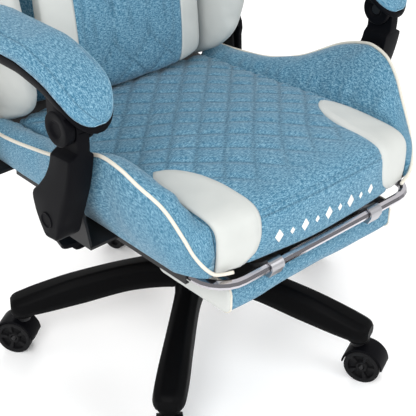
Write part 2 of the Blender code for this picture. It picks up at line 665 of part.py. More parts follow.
def make_footrest():
    air = 0.0008
    half = RAIL_TUBE + air
    wall = 0.002
    top = -RAIL_DROP + half + wall
    low = -RAIL_DROP - half - 0.0005
    for side, label in ((-1, "right"), (1, "left")):
        x = side * RAIL_HALF
        lip = 0.5 * RAIL_TUBE
        outline = [
            (lip, low - wall), (half + wall, low - wall), (half + wall, top), (-half - wall, top),
            (-half - wall, low - wall), (-lip, low - wall), (-lip, low), (-half, low),
            (-half, top - wall), (half, top - wall), (half, low), (lip, low),
        ]
        rings = [[(x + dx, y, z) for dx, z in outline] for y in (-0.80 * BAR_FRONT, RAIL_REAR + 0.085)]
        name = f"footrest_guide_{label}"
        put(name, loft(name, rings), STEEL, rock, SEAT_SHIFT)

    slide = group("footrest_slide", rock, SEAT_SHIFT)
    path = bend(
        [
            (-RAIL_HALF, RAIL_REAR, -RAIL_DROP), (-RAIL_HALF, -BAR_FRONT, -RAIL_DROP),
            (RAIL_HALF, -BAR_FRONT, -RAIL_DROP), (RAIL_HALF, RAIL_REAR, -RAIL_DROP),
        ],
        BAR_BEND, 6,
    )
    tube("footrest_frame", path, RAIL_TUBE, CHROME, slide, resolution=2)

    flip = group("footrest_flip", slide, FOOTREST_AXIS)
    shift = -FOOTREST_AXIS
    ceiling = low - wall - 0.001
    front = -BAR_FRONT + 0.015
    board = box(
        "footrest_board", (-FOOTREST_HALF + 0.012, front + 0.004, ceiling - PLATE),
        (FOOTREST_HALF - 0.012, front + FOOTREST_DEPTH - 0.006, ceiling),
    )
    board = put("footrest_board", board, STEEL, flip, shift)
    ring = circle((-BAR_FRONT, -RAIL_DROP), RAIL_TUBE + GAP, 16)
    for side in (-1, 1):
        x = side * 0.60 * FOOTREST_HALF
        lug = circle((-BAR_FRONT, -RAIL_DROP), RAIL_TUBE + 0.0035, 10, 20, 180)
        lug += [(-BAR_FRONT - 0.004, ceiling - PLATE), (front + 0.020, ceiling - PLATE), (front + 0.020, ceiling)]
        combine(board, "UNION", plate("lug", lug, x - 0.012, x + 0.012, ring))
    low_z = ceiling - PLATE - GAP - FOOTREST_THICK
    rings = []
    for s in (-1.0, -0.97, -0.6, 0.0, 0.6, 0.97, 1.0):
        inset = 0.010 if abs(s) == 1 else 0.0
        swell = 0.005 * (1 - s * s)
        section = rounded_rectangle(
            (front + inset, low_z + inset - swell),
            (front + FOOTREST_DEPTH - inset, low_z + FOOTREST_THICK - (inset if inset else 0.0)), 0.016, 3,
        )
        rings.append([(s * FOOTREST_HALF, y, z) for y, z in section])
    put("footrest_pad", loft("footrest_pad", rings), BLUE, flip, shift)


# ---- Backrest -----------------------------------------------------------------------------------

recline = group("recline_axis", rock, SEAT_SHIFT + RECLINE_AXIS, (-LEAN, 0, 0))


def back_outline():
    """Half width of the centre panel and of the wings, going up the back from the recline axis."""
    share = [0.0, 0.10, 0.25, 0.42, 0.54, 0.68, 0.78, 0.90, 1.0]
    wing = [0.84, 0.95, 1.00, 0.91, 0.89, 0.97, 0.93, 0.66, 0.52]
    centre = [0.62, 0.63, 0.66, 0.63, 0.60, 0.60, 0.58, 0.47, 0.38]
    up = [BACK_HEIGHT * a for a in share]
    wing_at = smooth_path(up, [BACK_HALF * a for a in wing])
    centre_at = smooth_path(up, [BACK_HALF * a for a in centre])
    return centre_at, wing_at


def tilted(y, z):
    """A point given from the recline axis in the seat's frame, read in the leaning back's frame."""
    return (
        y * math.cos(LEAN) - z * math.sin(LEAN),
        y * math.sin(LEAN) + z * math.cos(LEAN),
    )


def make_back_frame():
    top = 0.80 * BACK_HEIGHT
    foot = -0.034
    depth = 0.036
    side = 0.48 * BACK_HALF
    out = HINGE_PLATE_X - GAP
    corners = [(-out, foot), (-side, foot), (-side, top), (side, top), (side, foot), (out, foot)]
    path = bend([(x, depth, w) for x, w in corners], 0.040, 4)
    tube("back_frame", path, BACK_TUBE, STEEL, recline, resolution=1)

    link = tilted(*ARM_LINK)
    for side, label in ((-1, "right"), (1, "left")):
        outline = circle(link, 0.015, 6, 0, 180)
        outline += circle((0, 0), 0.030, 6, 165, 90)
        outline += circle((depth, foot), 0.014, 5, 250, 130)
        low, high = side * HINGE_PLATE_X, side * (HINGE_PLATE_X + PLATE)
        bore = circle((0, 0), PIVOT_RADIUS + GAP, 16)
        name = f"back_hinge_plate_{label}"
        hinge = put(name, plate(name, outline, low, high, bore), STEEL, recline)
        stud = rod("stud", (high - side * 0.002, *link), (side * (SUPPORT_MID + 0.008), *link), 0.005, 12)
        combine(hinge, "UNION", stud)


def back_panel_ring(w, half, front, rear, crown):
    """A level section of the centre panel: a rounded slab whose front swells at the middle."""
    section = []
    for s in (-1.0, -0.96, -0.6, 0.0, 0.6, 0.96, 1.0):
        edge = 0.012 if abs(s) == 1 else 0.0
        section.append((s * half, front + edge - crown * (1 - s * s), w))
    section += [(half, rear, w), (-half, rear, w)]
    return section


def wing_foot(low_edge, inner, outer):
    """Lowest edge of a wing: the stated one, or clear of the bolster's crest under the wing."""
    top = bolster_ring(SEAT_REAR - 0.03, 1, *piping())[6:2:-1]
    crest = np.interp(np.linspace(inner, outer, 9), [p[0] for p in top], [p[2] for p in top]).max()
    underside = RECLINE_HEIGHT + (RECLINE_Y - SEAT_REAR) * math.sin(LEAN)
    return max(low_edge, crest + WING_CLEARANCE - underside)


def make_back_cushions():
    centre_at, wing_at = back_outline()
    low_edge, top_edge = -0.018, BACK_HEIGHT - 0.015
    rings = []
    for w in [low_edge, 0.0] + [BACK_HEIGHT * a for a in (0.10, 0.25, 0.42, 0.54, 0.68, 0.78, 0.90)] + [top_edge]:
        ease = 0.018 if w in (low_edge, top_edge) else 0.0
        rings.append(back_panel_ring(w, centre_at(max(w, 0)) - ease / 2, -0.030 + ease, 0.022, 0.012))
    put("back_cushion", loft("back_cushion", rings), BLUE, recline)

    foot = wing_foot(low_edge, centre_at(0), wing_at(0))
    heights = [foot, foot + 0.016, 0.03, 0.08, 0.15, 0.24, 0.34, 0.43, 0.52, 0.60, 0.624, 0.67, 0.71]
    heights = heights[:4] + [w / 0.8 * BACK_HEIGHT for w in heights[4:]]
    depths = [0.050, 0.083, 0.112, 0.124, 0.127, 0.118, 0.092, 0.078, 0.082, 0.078, 0.070, 0.052, 0.040]
    for side, label in ((-1, "right"), (1, "left")):
        rings = []
        for w, depth in zip(heights, depths):
            inner = centre_at(max(w, 0)) + 0.0025
            outer = wing_at(max(w, 0)) - (0.012 if w == foot else 0.0)
            width = outer - inner
            section = [
                (inner, 0.020), (inner, -0.018), (inner + 0.25 * width, -0.6 * depth),
                (inner + 0.52 * width, -depth), (inner + 0.74 * width, 0.002 - depth),
                (outer, -0.62 * depth), (outer, 0.020),
            ]
            rings.append([(side * x, v, w) for x, v in section])
        name = f"back_wing_{label}"
        put(name, loft(name, rings), WHITE, recline)


def make_back_shell():
    """The rear cover: a moulded skin over the back frame, deepest down the middle."""
    _, wing_at = back_outline()
    columns = np.linspace(-1, 1, 9)
    rows = [-0.018, 0.03] + [BACK_HEIGHT * a for a in (0.12, 0.25, 0.42, 0.54, 0.68, 0.78, 0.89)]
    bm = bmesh.new()
    grid = []
    for w in rows:
        half = wing_at(max(w, 0)) - 0.003
        grid.append([bm.verts.new((s * half, 0.056 - 0.030 * abs(s) ** 5, w)) for s in columns])
    for low, high in zip(grid[:-1], grid[1:]):
        for i in range(len(columns) - 1):
            bm.faces.new((low[i], high[i], high[i + 1], low[i + 1]))
    mesh = bpy.data.meshes.new("back_shell")
    bm.to_mesh(mesh)
    bm.free()
    shell = put("back_shell", mesh, BLACK, recline)
    wall = shell.modifiers.new("wall", "SOLIDIFY")
    wall.thickness = 0.003
    wall.offset = 1.0


def pillow(name, finish, centre, half, turn=0.0):
    """A pillow that is fullest in the middle: superellipse sections that shrink to its ends."""
    rings = []
    for s in (-1.0, -0.93, -0.75, -0.4, 0.0, 0.4, 0.75, 0.93, 1.0):
        swell = (1 - abs(s) ** 3.5) ** 0.5 if abs(s) < 1 else 0.22
        ring = []
        for k in range(12):
            a = 2 * math.pi * (k + 0.5) / 12
            c, d = math.cos(a), math.sin(a)
            v = half[1] * math.copysign(abs(c) ** 0.6, c) * (0.35 + 0.65 * swell)
            w = half[2] * math.copysign(abs(d) ** 0.45, d) * (0.80 + 0.20 * swell)
            ring.append((s * half[0], v, w))
        rings.append(ring)
    return put(name, loft(name, rings), finish, recline, centre, (turn, 0, 0))


def make_pillows():
    pillow("lumbar_pillow", BLUE, (0, -0.070, 0.105), (0.155, 0.026, 0.105))
    pillow("head_pillow", BLUE, (0, -0.074, 0.855 * BACK_HEIGHT), (0.118, 0.028, 0.065))


# ---- Hinges at the seat's sides -----------------------------------------------------------------


def make_recline_sides():
    y0, z0 = RECLINE_Y, RECLINE_HEIGHT
    for side, label in ((-1, "right"), (1, "left")):
        low, high = side * RECLINE_BRACKET_X, side * (RECLINE_BRACKET_X + PLATE)
        upright = circle((y0, z0), 0.026, 8, 0, 180)
        upright += [(y0 - 0.036, -0.008), (y0 + 0.034, -0.008)]
        name = f"recline_bracket_{label}"
        bracket = put(name, plate(name, upright, low, high), STEEL, rock, SEAT_SHIFT)
        foot_in = side * (LOOP_HALF - 0.020)
        foot = box(
            "foot", (min(foot_in, high), y0 - 0.066, -0.0045 - PLATE), (max(foot_in, high), y0 + 0.034, -0.0045)
        )
        combine(bracket, "UNION", foot)
        inner = side * (HINGE_PLATE_X - 0.005)
        pin = rod("pin", (inner, y0, z0), (low + side * 0.001, y0, z0), PIVOT_RADIUS, 16)
        combine(bracket, "UNION", pin)

        cover = circle((y0, z0), 0.040, 12, -20, 220)
        cover += [(y0 - 0.040, 0.010), (y0 + 0.036, 0.010)]
        name = f"recline_cover_{label}"
        piece = put(name, plate(name, cover, side * COVER_X, side * (COVER_X + 0.011)), BLACK, rock, SEAT_SHIFT)
        rim = piece.modifiers.new("rim", "BEVEL")
        rim.width = 0.003
        rim.segments = 1
        rim.limit_method = "ANGLE"
        rim.angle_limit = math.radians(50)

    handle = group("recline_lever_axis", rock, SEAT_SHIFT + RECLINE_AXIS)
    x = -(COVER_X + 0.011 + GAP)
    grip = circle((0, 0), 0.018, 9, -60, 240)
    grip += circle((-0.066, -0.020), 0.010, 6, 130, 160)
    mesh = plate("recline_lever", grip, x - 0.007, x)
    put("recline_lever", mesh, BLACK, handle)


def make_arms():
    y0, z0 = ARM_FRONT_PIVOT
    y1, z1 = y0 + ARM_LINK[0], z0 + ARM_LINK[1]
    y2, z2 = RECLINE_Y + ARM_LINK[0], RECLINE_HEIGHT + ARM_LINK[1]
    far = SUPPORT_X + SUPPORT_THICK
    eye = 0.0240
    cheek = 0.0125
    for side, label in ((-1, "right"), (1, "left")):
        # Bracket on the seat: foot, upright and the stud that the support turns on.
        plate_x = SUPPORT_X - 0.0145
        low, high = side * plate_x, side * (plate_x + PLATE)
        upright = circle((y0, z0), 0.021, 8, 0, 180) + [(y0 - 0.036, -0.0085), (y0 + 0.036, -0.0085)]
        name = f"arm_bracket_{label}"
        bracket = put(name, plate(name, upright, low, high), STEEL, rock, SEAT_SHIFT)
        foot_in = side * (LOOP_HALF - 0.020)
        foot = box(
            "foot", (min(foot_in, high), y0 - 0.036, -0.0045 - PLATE), (max(foot_in, high), y0 + 0.036, -0.0045)
        )
        combine(bracket, "UNION", foot)
        stud = rod("stud", (high - side * 0.001, y0, z0), (side * (far - 0.006), y0, z0), PIVOT_RADIUS, 16)
        combine(bracket, "UNION", stud)

        # Support: a wide foot at the lower pivot, a slim neck, and an eye at the upper pivot.
        support_axis = group(f"support_axis_{label}", rock, SEAT_SHIFT + Vector((0, y0, z0)))
        outline = [
            (-0.014, -0.026), (0.004, -0.020), (0.015, -0.004), (0.025, 0.022), (0.025, 0.036),
            (0.006, 0.056), (-0.010, 0.078), (-0.024, 0.105), (-0.032, 0.128),
        ]
        outline += circle(ARM_LINK, eye, 8, -20, 200)
        outline += [(-0.072, 0.120), (-0.062, 0.068), (-0.044, 0.020), (-0.033, -0.010), (-0.026, -0.022)]
        bore = circle((0, 0), PIVOT_RADIUS + GAP, 16)
        name = f"arm_support_{label}"
        support = put(
            name, plate(name, outline, side * SUPPORT_X, side * far, bore), BLACK, support_axis
        )
        # The eye is narrower than the foot, so the tray's two cheeks pass beside it.
        for a, b in ((SUPPORT_X - 0.01, SUPPORT_X + cheek - 0.006), (far - cheek, far + 0.01)):
            notch = circle(ARM_LINK, eye + 0.0035, 16)
            combine(support, "DIFFERENCE", plate("notch", notch, side * a, side * b))
        span = (side * (SUPPORT_X - 0.004), side * (far - 0.003))
        link_pin = rod("pin", (span[0], *ARM_LINK), (span[1], *ARM_LINK), PIVOT_RADIUS, 16)
        combine(support, "UNION", link_pin)

        make_arm(side, label, (y1, z1), (y2, z2), far, cheek)


def arm_deck():
    """Height of the tray's top along the arm: level behind, dipping towards the front."""
    y1 = ARM_FRONT_PIVOT[0] + ARM_LINK[0]
    z1 = ARM_FRONT_PIVOT[1] + ARM_LINK[1]
    back = y1 - 0.043 + PAD_LENGTH
    y = [y1 - 0.043, y1 - 0.028, y1 - 0.012, y1 + 0.017, y1 + 0.055, y1 + 0.085, back]
    rise = [0.008, 0.024, 0.040, 0.054, 0.063, 0.067, 0.067]
    return smooth_path(y, [z1 + r for r in rise]), y[0], back


def make_arm(side, label, front_pivot, rear_pivot, far, cheek):
    deck, front, back = arm_deck()
    arm_axis = group(f"arm_axis_{label}", rock, SEAT_SHIFT + Vector((0, *front_pivot)))
    shift = Vector((0, -front_pivot[0], -front_pivot[1]))
    shares = (0.0, 0.02, 0.06, 0.13, 0.24, 0.38, 0.55, 0.75, 0.95, 1.0)
    tray_rings, pad_rings = [], []
    for s in shares:
        y = front + (back - front) * s
        nose = min(s / 0.16, 1.0)
        width = PAD_HALF * math.sqrt(max(1 - (1 - nose) ** 2.6, 0.16))
        if s == 1.0:
            width *= 0.93
        top = deck(y)
        under = top - TRAY_THICK * (0.45 + 0.55 * nose)
        outline = [
            (-0.70, under), (0.70, under), (0.96, under + 0.4 * TRAY_THICK), (1.0, top),
            (-1.0, top), (-0.96, under + 0.4 * TRAY_THICK),
        ]
        tray_rings.append([(side * (PAD_X + a * width), y, z) for a, z in outline])
        low = top + GAP
        full = PAD_THICK * (0.50 + 0.50 * min(s / 0.4, 1.0)) * (0.75 if s in (0.0, 1.0) else 1.0)
        outline = [
            (-0.99, low), (0.99, low), (1.03, low + 0.40 * full), (0.93, low + 0.74 * full),
            (0.55, low + 0.95 * full), (0.0, low + full), (-0.55, low + 0.95 * full),
            (-0.93, low + 0.74 * full), (-1.03, low + 0.40 * full),
        ]
        pad_rings.append([(side * (PAD_X + a * width), y, z) for a, z in outline])
    name = f"arm_tray_{label}"
    tray = put(name, loft(name, tray_rings), BLACK, arm_axis, shift)
    put(f"arm_pad_{label}", loft(f"arm_pad_{label}", pad_rings), BLUE, arm_axis, shift)

    # Two cheeks at the front pivot, and a tail that runs back to the pivot on the backrest.
    y1, z1 = front_pivot
    top = deck(y1) - 0.6 * TRAY_THICK
    for a, b in ((SUPPORT_X - 0.007, SUPPORT_X + cheek - 0.0068), (far - cheek + 0.0008, far + 0.006)):
        outline = circle((y1, z1), 0.0262, 12, 175, 190) + [(y1 + 0.022, top + 0.004), (y1 - 0.014, top - 0.004)]
        hole = circle((y1, z1), PIVOT_RADIUS + GAP, 16)
        combine(tray, "UNION", plate("cheek", outline, side * a, side * b, hole))
    y2, z2 = rear_pivot
    tail_top = deck(back) - 0.004
    outline = circle((y2, z2), 0.020, 8, -100, 190)
    outline += [(back + 0.020, tail_top), (back - 0.012, tail_top), (back - 0.010, tail_top - TRAY_THICK + 0.006)]
    outline.append((back + 0.045, z2 - 0.004))
    low, high = side * (HINGE_PLATE_X + PLATE + 0.012), side * (far - 0.004)
    tail = plate("tail", outline, low, high, circle((y2, z2), 0.0085, 16))
    combine(tray, "UNION", tail)


foot_z, socket_z = make_base()
make_column()
make_castors(foot_z, socket_z)
make_mechanism()
make_seat_frame()
make_cushions()
make_footrest()
make_back_frame()
make_back_cushions()
make_back_shell()
make_pillows()
make_recline_sides()
make_arms()
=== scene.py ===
# %% [markdown]
# # Gaming chair: the looks
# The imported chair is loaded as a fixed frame: its frames, tubes, hinges and wheels are already the
# right size. This lesson upholsters it, finishes its mouldings and lights it. Every new piece is a
# surface worked out with numpy, so each shape is a formula that can be read and changed.

import json
import math

import bmesh
import bpy
import numpy as np
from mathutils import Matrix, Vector


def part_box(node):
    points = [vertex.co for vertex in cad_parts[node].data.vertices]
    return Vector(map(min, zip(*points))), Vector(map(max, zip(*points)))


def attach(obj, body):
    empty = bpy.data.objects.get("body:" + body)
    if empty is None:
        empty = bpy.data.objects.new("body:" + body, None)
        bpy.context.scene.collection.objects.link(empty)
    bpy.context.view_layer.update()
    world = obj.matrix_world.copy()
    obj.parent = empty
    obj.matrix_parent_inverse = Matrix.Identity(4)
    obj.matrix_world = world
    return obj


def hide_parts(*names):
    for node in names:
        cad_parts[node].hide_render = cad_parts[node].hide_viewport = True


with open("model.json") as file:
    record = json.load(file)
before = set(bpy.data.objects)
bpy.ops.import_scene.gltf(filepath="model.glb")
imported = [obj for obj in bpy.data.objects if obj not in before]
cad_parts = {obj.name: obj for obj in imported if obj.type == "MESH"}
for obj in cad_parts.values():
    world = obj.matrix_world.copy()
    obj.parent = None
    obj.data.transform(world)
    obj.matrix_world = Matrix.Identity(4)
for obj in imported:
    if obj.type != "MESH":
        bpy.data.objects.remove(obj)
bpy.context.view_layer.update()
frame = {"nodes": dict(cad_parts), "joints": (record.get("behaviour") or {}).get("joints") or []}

joint = {j["name"]: j for j in frame["joints"]}
COLUMN_Y = joint["seat_swivel"]["pos_m"][1]
SEAT_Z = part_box("seat_plate")[1].z + 0.0004     # the seat's underside
SEAT = np.array([0.0, COLUMN_Y, SEAT_Z])        # seat pieces are measured from here
RECLINE = np.array(joint["back_recline"]["pos_m"])
LEAN = math.radians(6.0)
SIDES = ((-1, "right"), (1, "left"))
print("seat underside", round(SEAT_Z, 4), "column", round(COLUMN_Y, 4))

# %% [markdown]
# ## Helpers for shapes
# Upholstery patterns are drawn as a few chosen points joined by smooth curves. The curve used here
# never overshoots its points, so a seam stays where it was drawn. A surface is a grid of points
# whose texture coordinates are its own lengths in metres, so cloth has the same weave everywhere.

# %% Curves, surfaces and tubes
def curve_through(stations, values):
    """A function through the points: cubic pieces whose slopes are limited so it can't overshoot."""
    x = np.array(stations, float)
    y = np.array(values, float).reshape(len(x), -1)
    step = np.diff(x)[:, None]
    slope = np.diff(y, axis=0) / step
    product = slope[:-1] * slope[1:]
    total = np.where(product > 0, slope[:-1] + slope[1:], 1.0)
    tangent = np.vstack([slope[:1], np.where(product > 0, 2 * product / total, 0.0), slope[-1:]])

    def value(at):
        """Two stations' values and slopes joined by a cubic, at any place between them."""
        at = np.clip(np.asarray(at, float), x[0], x[-1])
        i = np.clip(np.searchsorted(x, at, "right") - 1, 0, len(x) - 2)
        h = step[i]
        t = ((at - x[i]) / h[..., 0])[..., None]
        out = (
            y[i] * (1 + 2 * t) * (1 - t) ** 2 + y[i + 1] * t * t * (3 - 2 * t)
            + h * (tangent[i] * t * (1 - t) ** 2 - tangent[i + 1] * t * t * (1 - t))
        )
        return out[..., 0] if out.shape[-1] == 1 else out

    return value


def walked_along(points):
    """The distance walked from the first point to each of them, corner to corner."""
    return np.r_[0, np.cumsum(np.linalg.norm(np.diff(points, axis=0), axis=1))]


def smooth_line(points, count):
    """Evenly spaced points on a smooth curve through the given ones, by the distance between them."""
    points = np.array(points, float)
    walk = walked_along(points)
    slope = np.gradient(points, walk, axis=0)
    at = np.linspace(0, walk[-1], count)
    i = np.clip(np.searchsorted(walk, at, "right") - 1, 0, len(walk) - 2)
    h = np.diff(walk)[i][:, None]
    t = ((at - walk[i])[:, None]) / h
    return (
        points[i] * (1 + 2 * t) * (1 - t) ** 2 + points[i + 1] * t * t * (3 - 2 * t)
        + h * (slope[i] * t * (1 - t) ** 2 - slope[i + 1] * t * t * (1 - t))
    )


def lengths(grid, axis):
    """Distance walked along one direction of a grid, averaged over the other."""
    walked = np.linalg.norm(np.diff(grid, axis=axis), axis=2)
    other = 1 - axis
    return np.r_[0, np.cumsum(walked.mean(axis=other))]


def surface(name, grid, finish, wrap=False, caps=False, smooth=True, crease=None):
    """A mesh over a grid of points. wrap joins the last column to the first, caps closes the ends.

    crease, from 0 to 1 at each point, says where a seam pulls the cloth in; the cloth's colour is darkened
    there as painted shade.
    """
    grid = np.asarray(grid, float)
    rows, cols = grid.shape[:2]
    index = np.arange(rows * cols).reshape(rows, cols)
    if wrap:
        index = np.c_[index, index[:, :1]]
    quads = np.stack([index[:-1, :-1], index[:-1, 1:], index[1:, 1:], index[1:, :-1]], -1).reshape(-1, 4)
    points = grid.reshape(-1, 3)
    around = np.concatenate([grid, grid[:, :1]], 1) if wrap else grid
    u, v = np.meshgrid(lengths(around, 1), lengths(around, 0))
    corner = np.stack([u, v], -1)
    uv = np.stack([corner[:-1, :-1], corner[:-1, 1:], corner[1:, 1:], corner[1:, :-1]], 2).reshape(-1, 2)
    faces = quads.tolist()
    if caps:
        ring = index[:, :-1] if wrap else index
        middle = np.stack([grid[0].mean(0), grid[-1].mean(0)])
        points = np.vstack([points, middle])
        ends = []
        for row, centre, turn in ((ring[0], rows * cols, -1), (ring[-1], rows * cols + 1, 1)):
            after = np.roll(row, -1)
            fan = np.stack([row, after, np.full(len(row), centre)], -1)[:, ::turn]
            ends.append(fan)
            flat = points[fan.reshape(-1)] - points[centre]
            uv = np.vstack([uv, flat[:, [1, 2]]])
        faces += np.vstack(ends).tolist()
    mesh = bpy.data.meshes.new(name)
    mesh.from_pydata(points.tolist(), [], faces)
    layer = mesh.uv_layers.new(name="cloth")
    layer.data.foreach_set("uv", uv.astype(np.float32).ravel())
    if crease is not None:
        depth = np.zeros(len(points))
        depth[:crease.size] = np.asarray(crease, float).ravel()
        mesh.attributes.new("crease", "FLOAT", "POINT").data.foreach_set("value", depth)
    volume = signed_volume(mesh) if (wrap and caps) else 1.0
    if volume < 0:
        mesh.flip_normals()
    return piece(name, mesh, finish, smooth)


def signed_volume(mesh):
    """A sixth of the sum, over the triangles, of corner one dotted with two crossed with three."""
    mesh.calc_loop_triangles()
    co = np.zeros(len(mesh.vertices) * 3)
    mesh.vertices.foreach_get("co", co)
    tri = np.zeros(len(mesh.loop_triangles) * 3, int)
    mesh.loop_triangles.foreach_get("vertices", tri)
    a, b, c = co.reshape(-1, 3)[tri.reshape(-1, 3)].transpose(1, 0, 2)
    return float((a * np.cross(b, c)).sum() / 6)


def piece(name, mesh, finish, smooth=True):
    """A mesh becomes a piece of the chair: named, given its finish, and put in the scene."""
    mesh.name = name
    mesh.materials.append(finish)
    if smooth:
        mesh.shade_smooth()
    else:
        mesh.shade_flat()
    made = bpy.data.objects.new(name, mesh)
    bpy.context.scene.collection.objects.link(made)
    return made


def face_outwards(mesh, merge=False, fill=False):
    """Turns every face outwards, after merging doubles and filling open rings where asked."""
    bm = bmesh.new()
    bm.from_mesh(mesh)
    if merge:
        bmesh.ops.remove_doubles(bm, verts=bm.verts, dist=1e-6)
    if fill:
        bmesh.ops.holes_fill(bm, edges=bm.edges)
    bmesh.ops.recalc_face_normals(bm, faces=bm.faces)
    bm.to_mesh(mesh)
    bm.free()


def give_wall(made, thickness):
    """Thickens an open sheet: Solidify adds a second face behind it and closes the rim."""
    wall = made.modifiers.new("wall", "SOLIDIFY")
    wall.thickness = thickness
    wall.offset = -1.0


def mirror_x(grid, side):
    """The same points on the other half of the chair: x times side, which is -1 or 1."""
    grid = np.array(grid)
    grid[..., 0] *= side
    return grid


def sweep(name, path, radius, finish, sides=10, squeeze=1.0, closed_ends=True):
    """A tube: circles carried along a path, each turned square to it without twisting."""
    path = np.asarray(path, float)
    along = np.gradient(path, axis=0)
    along /= np.linalg.norm(along, axis=1, keepdims=True)
    side = np.cross(along, [0.0, 0.0, 1.0])
    weak = np.linalg.norm(side, axis=1) < 0.2
    side[weak] = np.cross(along[weak], [1.0, 0.0, 0.0])
    for i in range(1, len(side)):
        if side[i] @ side[i - 1] < 0:
            side[i] = -side[i]
    side /= np.linalg.norm(side, axis=1, keepdims=True)
    up = np.cross(side, along)
    a = np.linspace(0, 2 * math.pi, sides, endpoint=False)
    radius = np.broadcast_to(radius, len(path))[:, None, None]
    ring = side[:, None] * np.cos(a)[:, None] + squeeze * up[:, None] * np.sin(a)[:, None]
    return surface(name, path[:, None] + radius * ring, finish, wrap=True, caps=closed_ends)


def ripple(points, size, seed):
    """Smooth irregular waves between -1 and 1: a sum of slanted sines with fixed random phases."""
    pick = np.random.default_rng(seed)
    total = np.zeros(points.shape[:-1])
    for _ in range(7):
        direction = pick.normal(size=3)
        direction /= np.linalg.norm(direction)
        wave = pick.uniform(0.7, 1.5) * 2 * math.pi / size
        total += np.sin(points @ direction * wave + pick.uniform(0, 6.3))
    return total / 7 ** 0.5 / 1.6


def outward(grid, wrap=True):
    """Unit normals of a grid, from the differences between neighbouring points."""
    if wrap:
        across = np.roll(grid, -1, 1) - np.roll(grid, 1, 1)
    else:
        across = np.gradient(grid, axis=1)
    normal = np.cross(across, np.gradient(grid, axis=0))
    return normal / np.maximum(np.linalg.norm(normal, axis=2, keepdims=True), 1e-12)


# %% [markdown]
# ## Shader maths as Python
# A pattern such as a weave is a formula on coordinates. Wrapping a socket in a small class lets the
# formula be written as an ordinary expression, and the class adds the Math nodes behind it.

# %% A socket that can be added, multiplied and compared
class Num:
    """Wraps a socket that holds a number, so that arithmetic on it adds Math nodes."""

    def __init__(self, tree, socket):
        self.tree, self.socket = tree, socket

    def math(self, operation, *others):
        """A Math node on this value and the others, each a Num or a plain number."""
        node = self.tree.nodes.new("ShaderNodeMath")
        node.operation = operation
        for slot, value in zip(node.inputs, (self, *others)):
            if isinstance(value, Num):
                self.tree.links.new(value.socket, slot)
            else:
                slot.default_value = value
        return Num(self.tree, node.outputs[0])

    def flipped(self, operation, other):
        """The same with the plain number first, for an expression such as 1 - mask."""
        node = self.tree.nodes.new("ShaderNodeMath")
        node.operation = operation
        node.inputs[0].default_value = other
        self.tree.links.new(self.socket, node.inputs[1])
        return Num(self.tree, node.outputs[0])

    def __add__(self, other):
        return self.math("ADD", other)

    def __radd__(self, other):
        return self.math("ADD", other)

    def __sub__(self, other):
        return self.math("SUBTRACT", other)

    def __rsub__(self, other):
        return self.flipped("SUBTRACT", other)

    def __mul__(self, other):
        return self.math("MULTIPLY", other)

    def __rmul__(self, other):
        return self.math("MULTIPLY", other)

    def __truediv__(self, other):
        return self.math("DIVIDE", other)

    def sine(self):
        return self.math("SINE")

    def size(self):
        """The value without its sign."""
        return self.math("ABSOLUTE")

    def power(self, other):
        return self.math("POWER", other)

    def step(self, low, high):
        """0 under low, 1 over high, and smooth between."""
        node = self.tree.nodes.new("ShaderNodeMapRange")
        node.interpolation_type = "SMOOTHSTEP"
        node.inputs["From Min"].default_value = low
        node.inputs["From Max"].default_value = high
        self.tree.links.new(self.socket, node.inputs["Value"])
        return Num(self.tree, node.outputs["Result"])


class Finish:
    """A material being built: its tree, its Principled shader and one way to add any node."""

    def __init__(self, name, **constants):
        self.material = bpy.data.materials.new(name)
        self.material.use_nodes = True
        self.tree = self.material.node_tree
        self.shader = self.tree.nodes["Principled BSDF"]
        for socket, value in constants.items():
            self.shader.inputs[socket.replace("_", " ")].default_value = value

    def node(self, kind, settings=None, **sockets):
        """Any node: its settings first, then a value or a link for each named socket."""
        made = self.tree.nodes.new("ShaderNode" + kind)
        for key, value in (settings or {}).items():
            setattr(made, key, value)
        for key, value in sockets.items():
            slot = made.inputs[key.replace("_", " ")]
            if isinstance(value, Num):
                self.tree.links.new(value.socket, slot)
            elif hasattr(value, "is_output"):
                self.tree.links.new(value, slot)
            else:
                slot.default_value = value
        return made

    def num(self, socket):
        """A socket of this material, wrapped so that arithmetic on it adds nodes."""
        return Num(self.tree, socket)

    def place(self, cloth=False, scale=(1, 1, 1), turn=0.0):
        """Coordinates in metres: the piece's own cloth lengths, or its place in the chair."""
        if cloth:
            source = self.node("UVMap", {"uv_map": "cloth"}).outputs["UV"]
        else:
            source = self.node("TexCoord").outputs["Object"]
        mapping = self.node("Mapping", Vector=source, Scale=scale, Rotation=(0, 0, turn))
        return mapping.outputs["Vector"]

    def noise(self, vector, scale, detail=2.0, rough=0.5):
        """Cloudy noise around 0.5; a higher scale gives smaller clouds."""
        made = self.node("TexNoise", Vector=vector, Scale=scale, Detail=detail, Roughness=rough)
        return self.num(made.outputs["Fac"])

    def blend(self, factor, first, second):
        """Mixes two colours, each a colour or the socket of one."""
        mix = self.node("Mix", {"data_type": "RGBA", "clamp_factor": True})
        for slot, value in ((mix.inputs[0], factor), (mix.inputs[6], first), (mix.inputs[7], second)):
            if isinstance(value, Num):
                self.tree.links.new(value.socket, slot)
            elif hasattr(value, "is_output"):
                self.tree.links.new(value, slot)
            else:
                slot.default_value = value if isinstance(value, float) else (*value, 1.0)
        return mix.outputs[2]

    def wire(self, colour=None, roughness=None, height=None, depth=0.001, strength=1.0):
        """Joins what varies to the shader. height is in units of depth, which is in metres."""
        if colour is not None:
            self.tree.links.new(colour, self.shader.inputs["Base Color"])
        if roughness is not None:
            self.tree.links.new(roughness.socket, self.shader.inputs["Roughness"])
        if height is not None:
            bump = self.node("Bump", Height=height, Distance=depth, Strength=strength)
            self.tree.links.new(bump.outputs["Normal"], self.shader.inputs["Normal"])
        return self.material


# %% [markdown]
# ## Finishes
# The blue cloth is a heathered weave: pale and deep threads mixed at random, with slubs a few
# millimetres long lying both ways. The leatherette is a pale coated cloth with a fine pebble and
# faint creases. Mouldings are satin black with a spark-eroded grain, steel is powder coated, and the
# footrest tube is bright chrome.

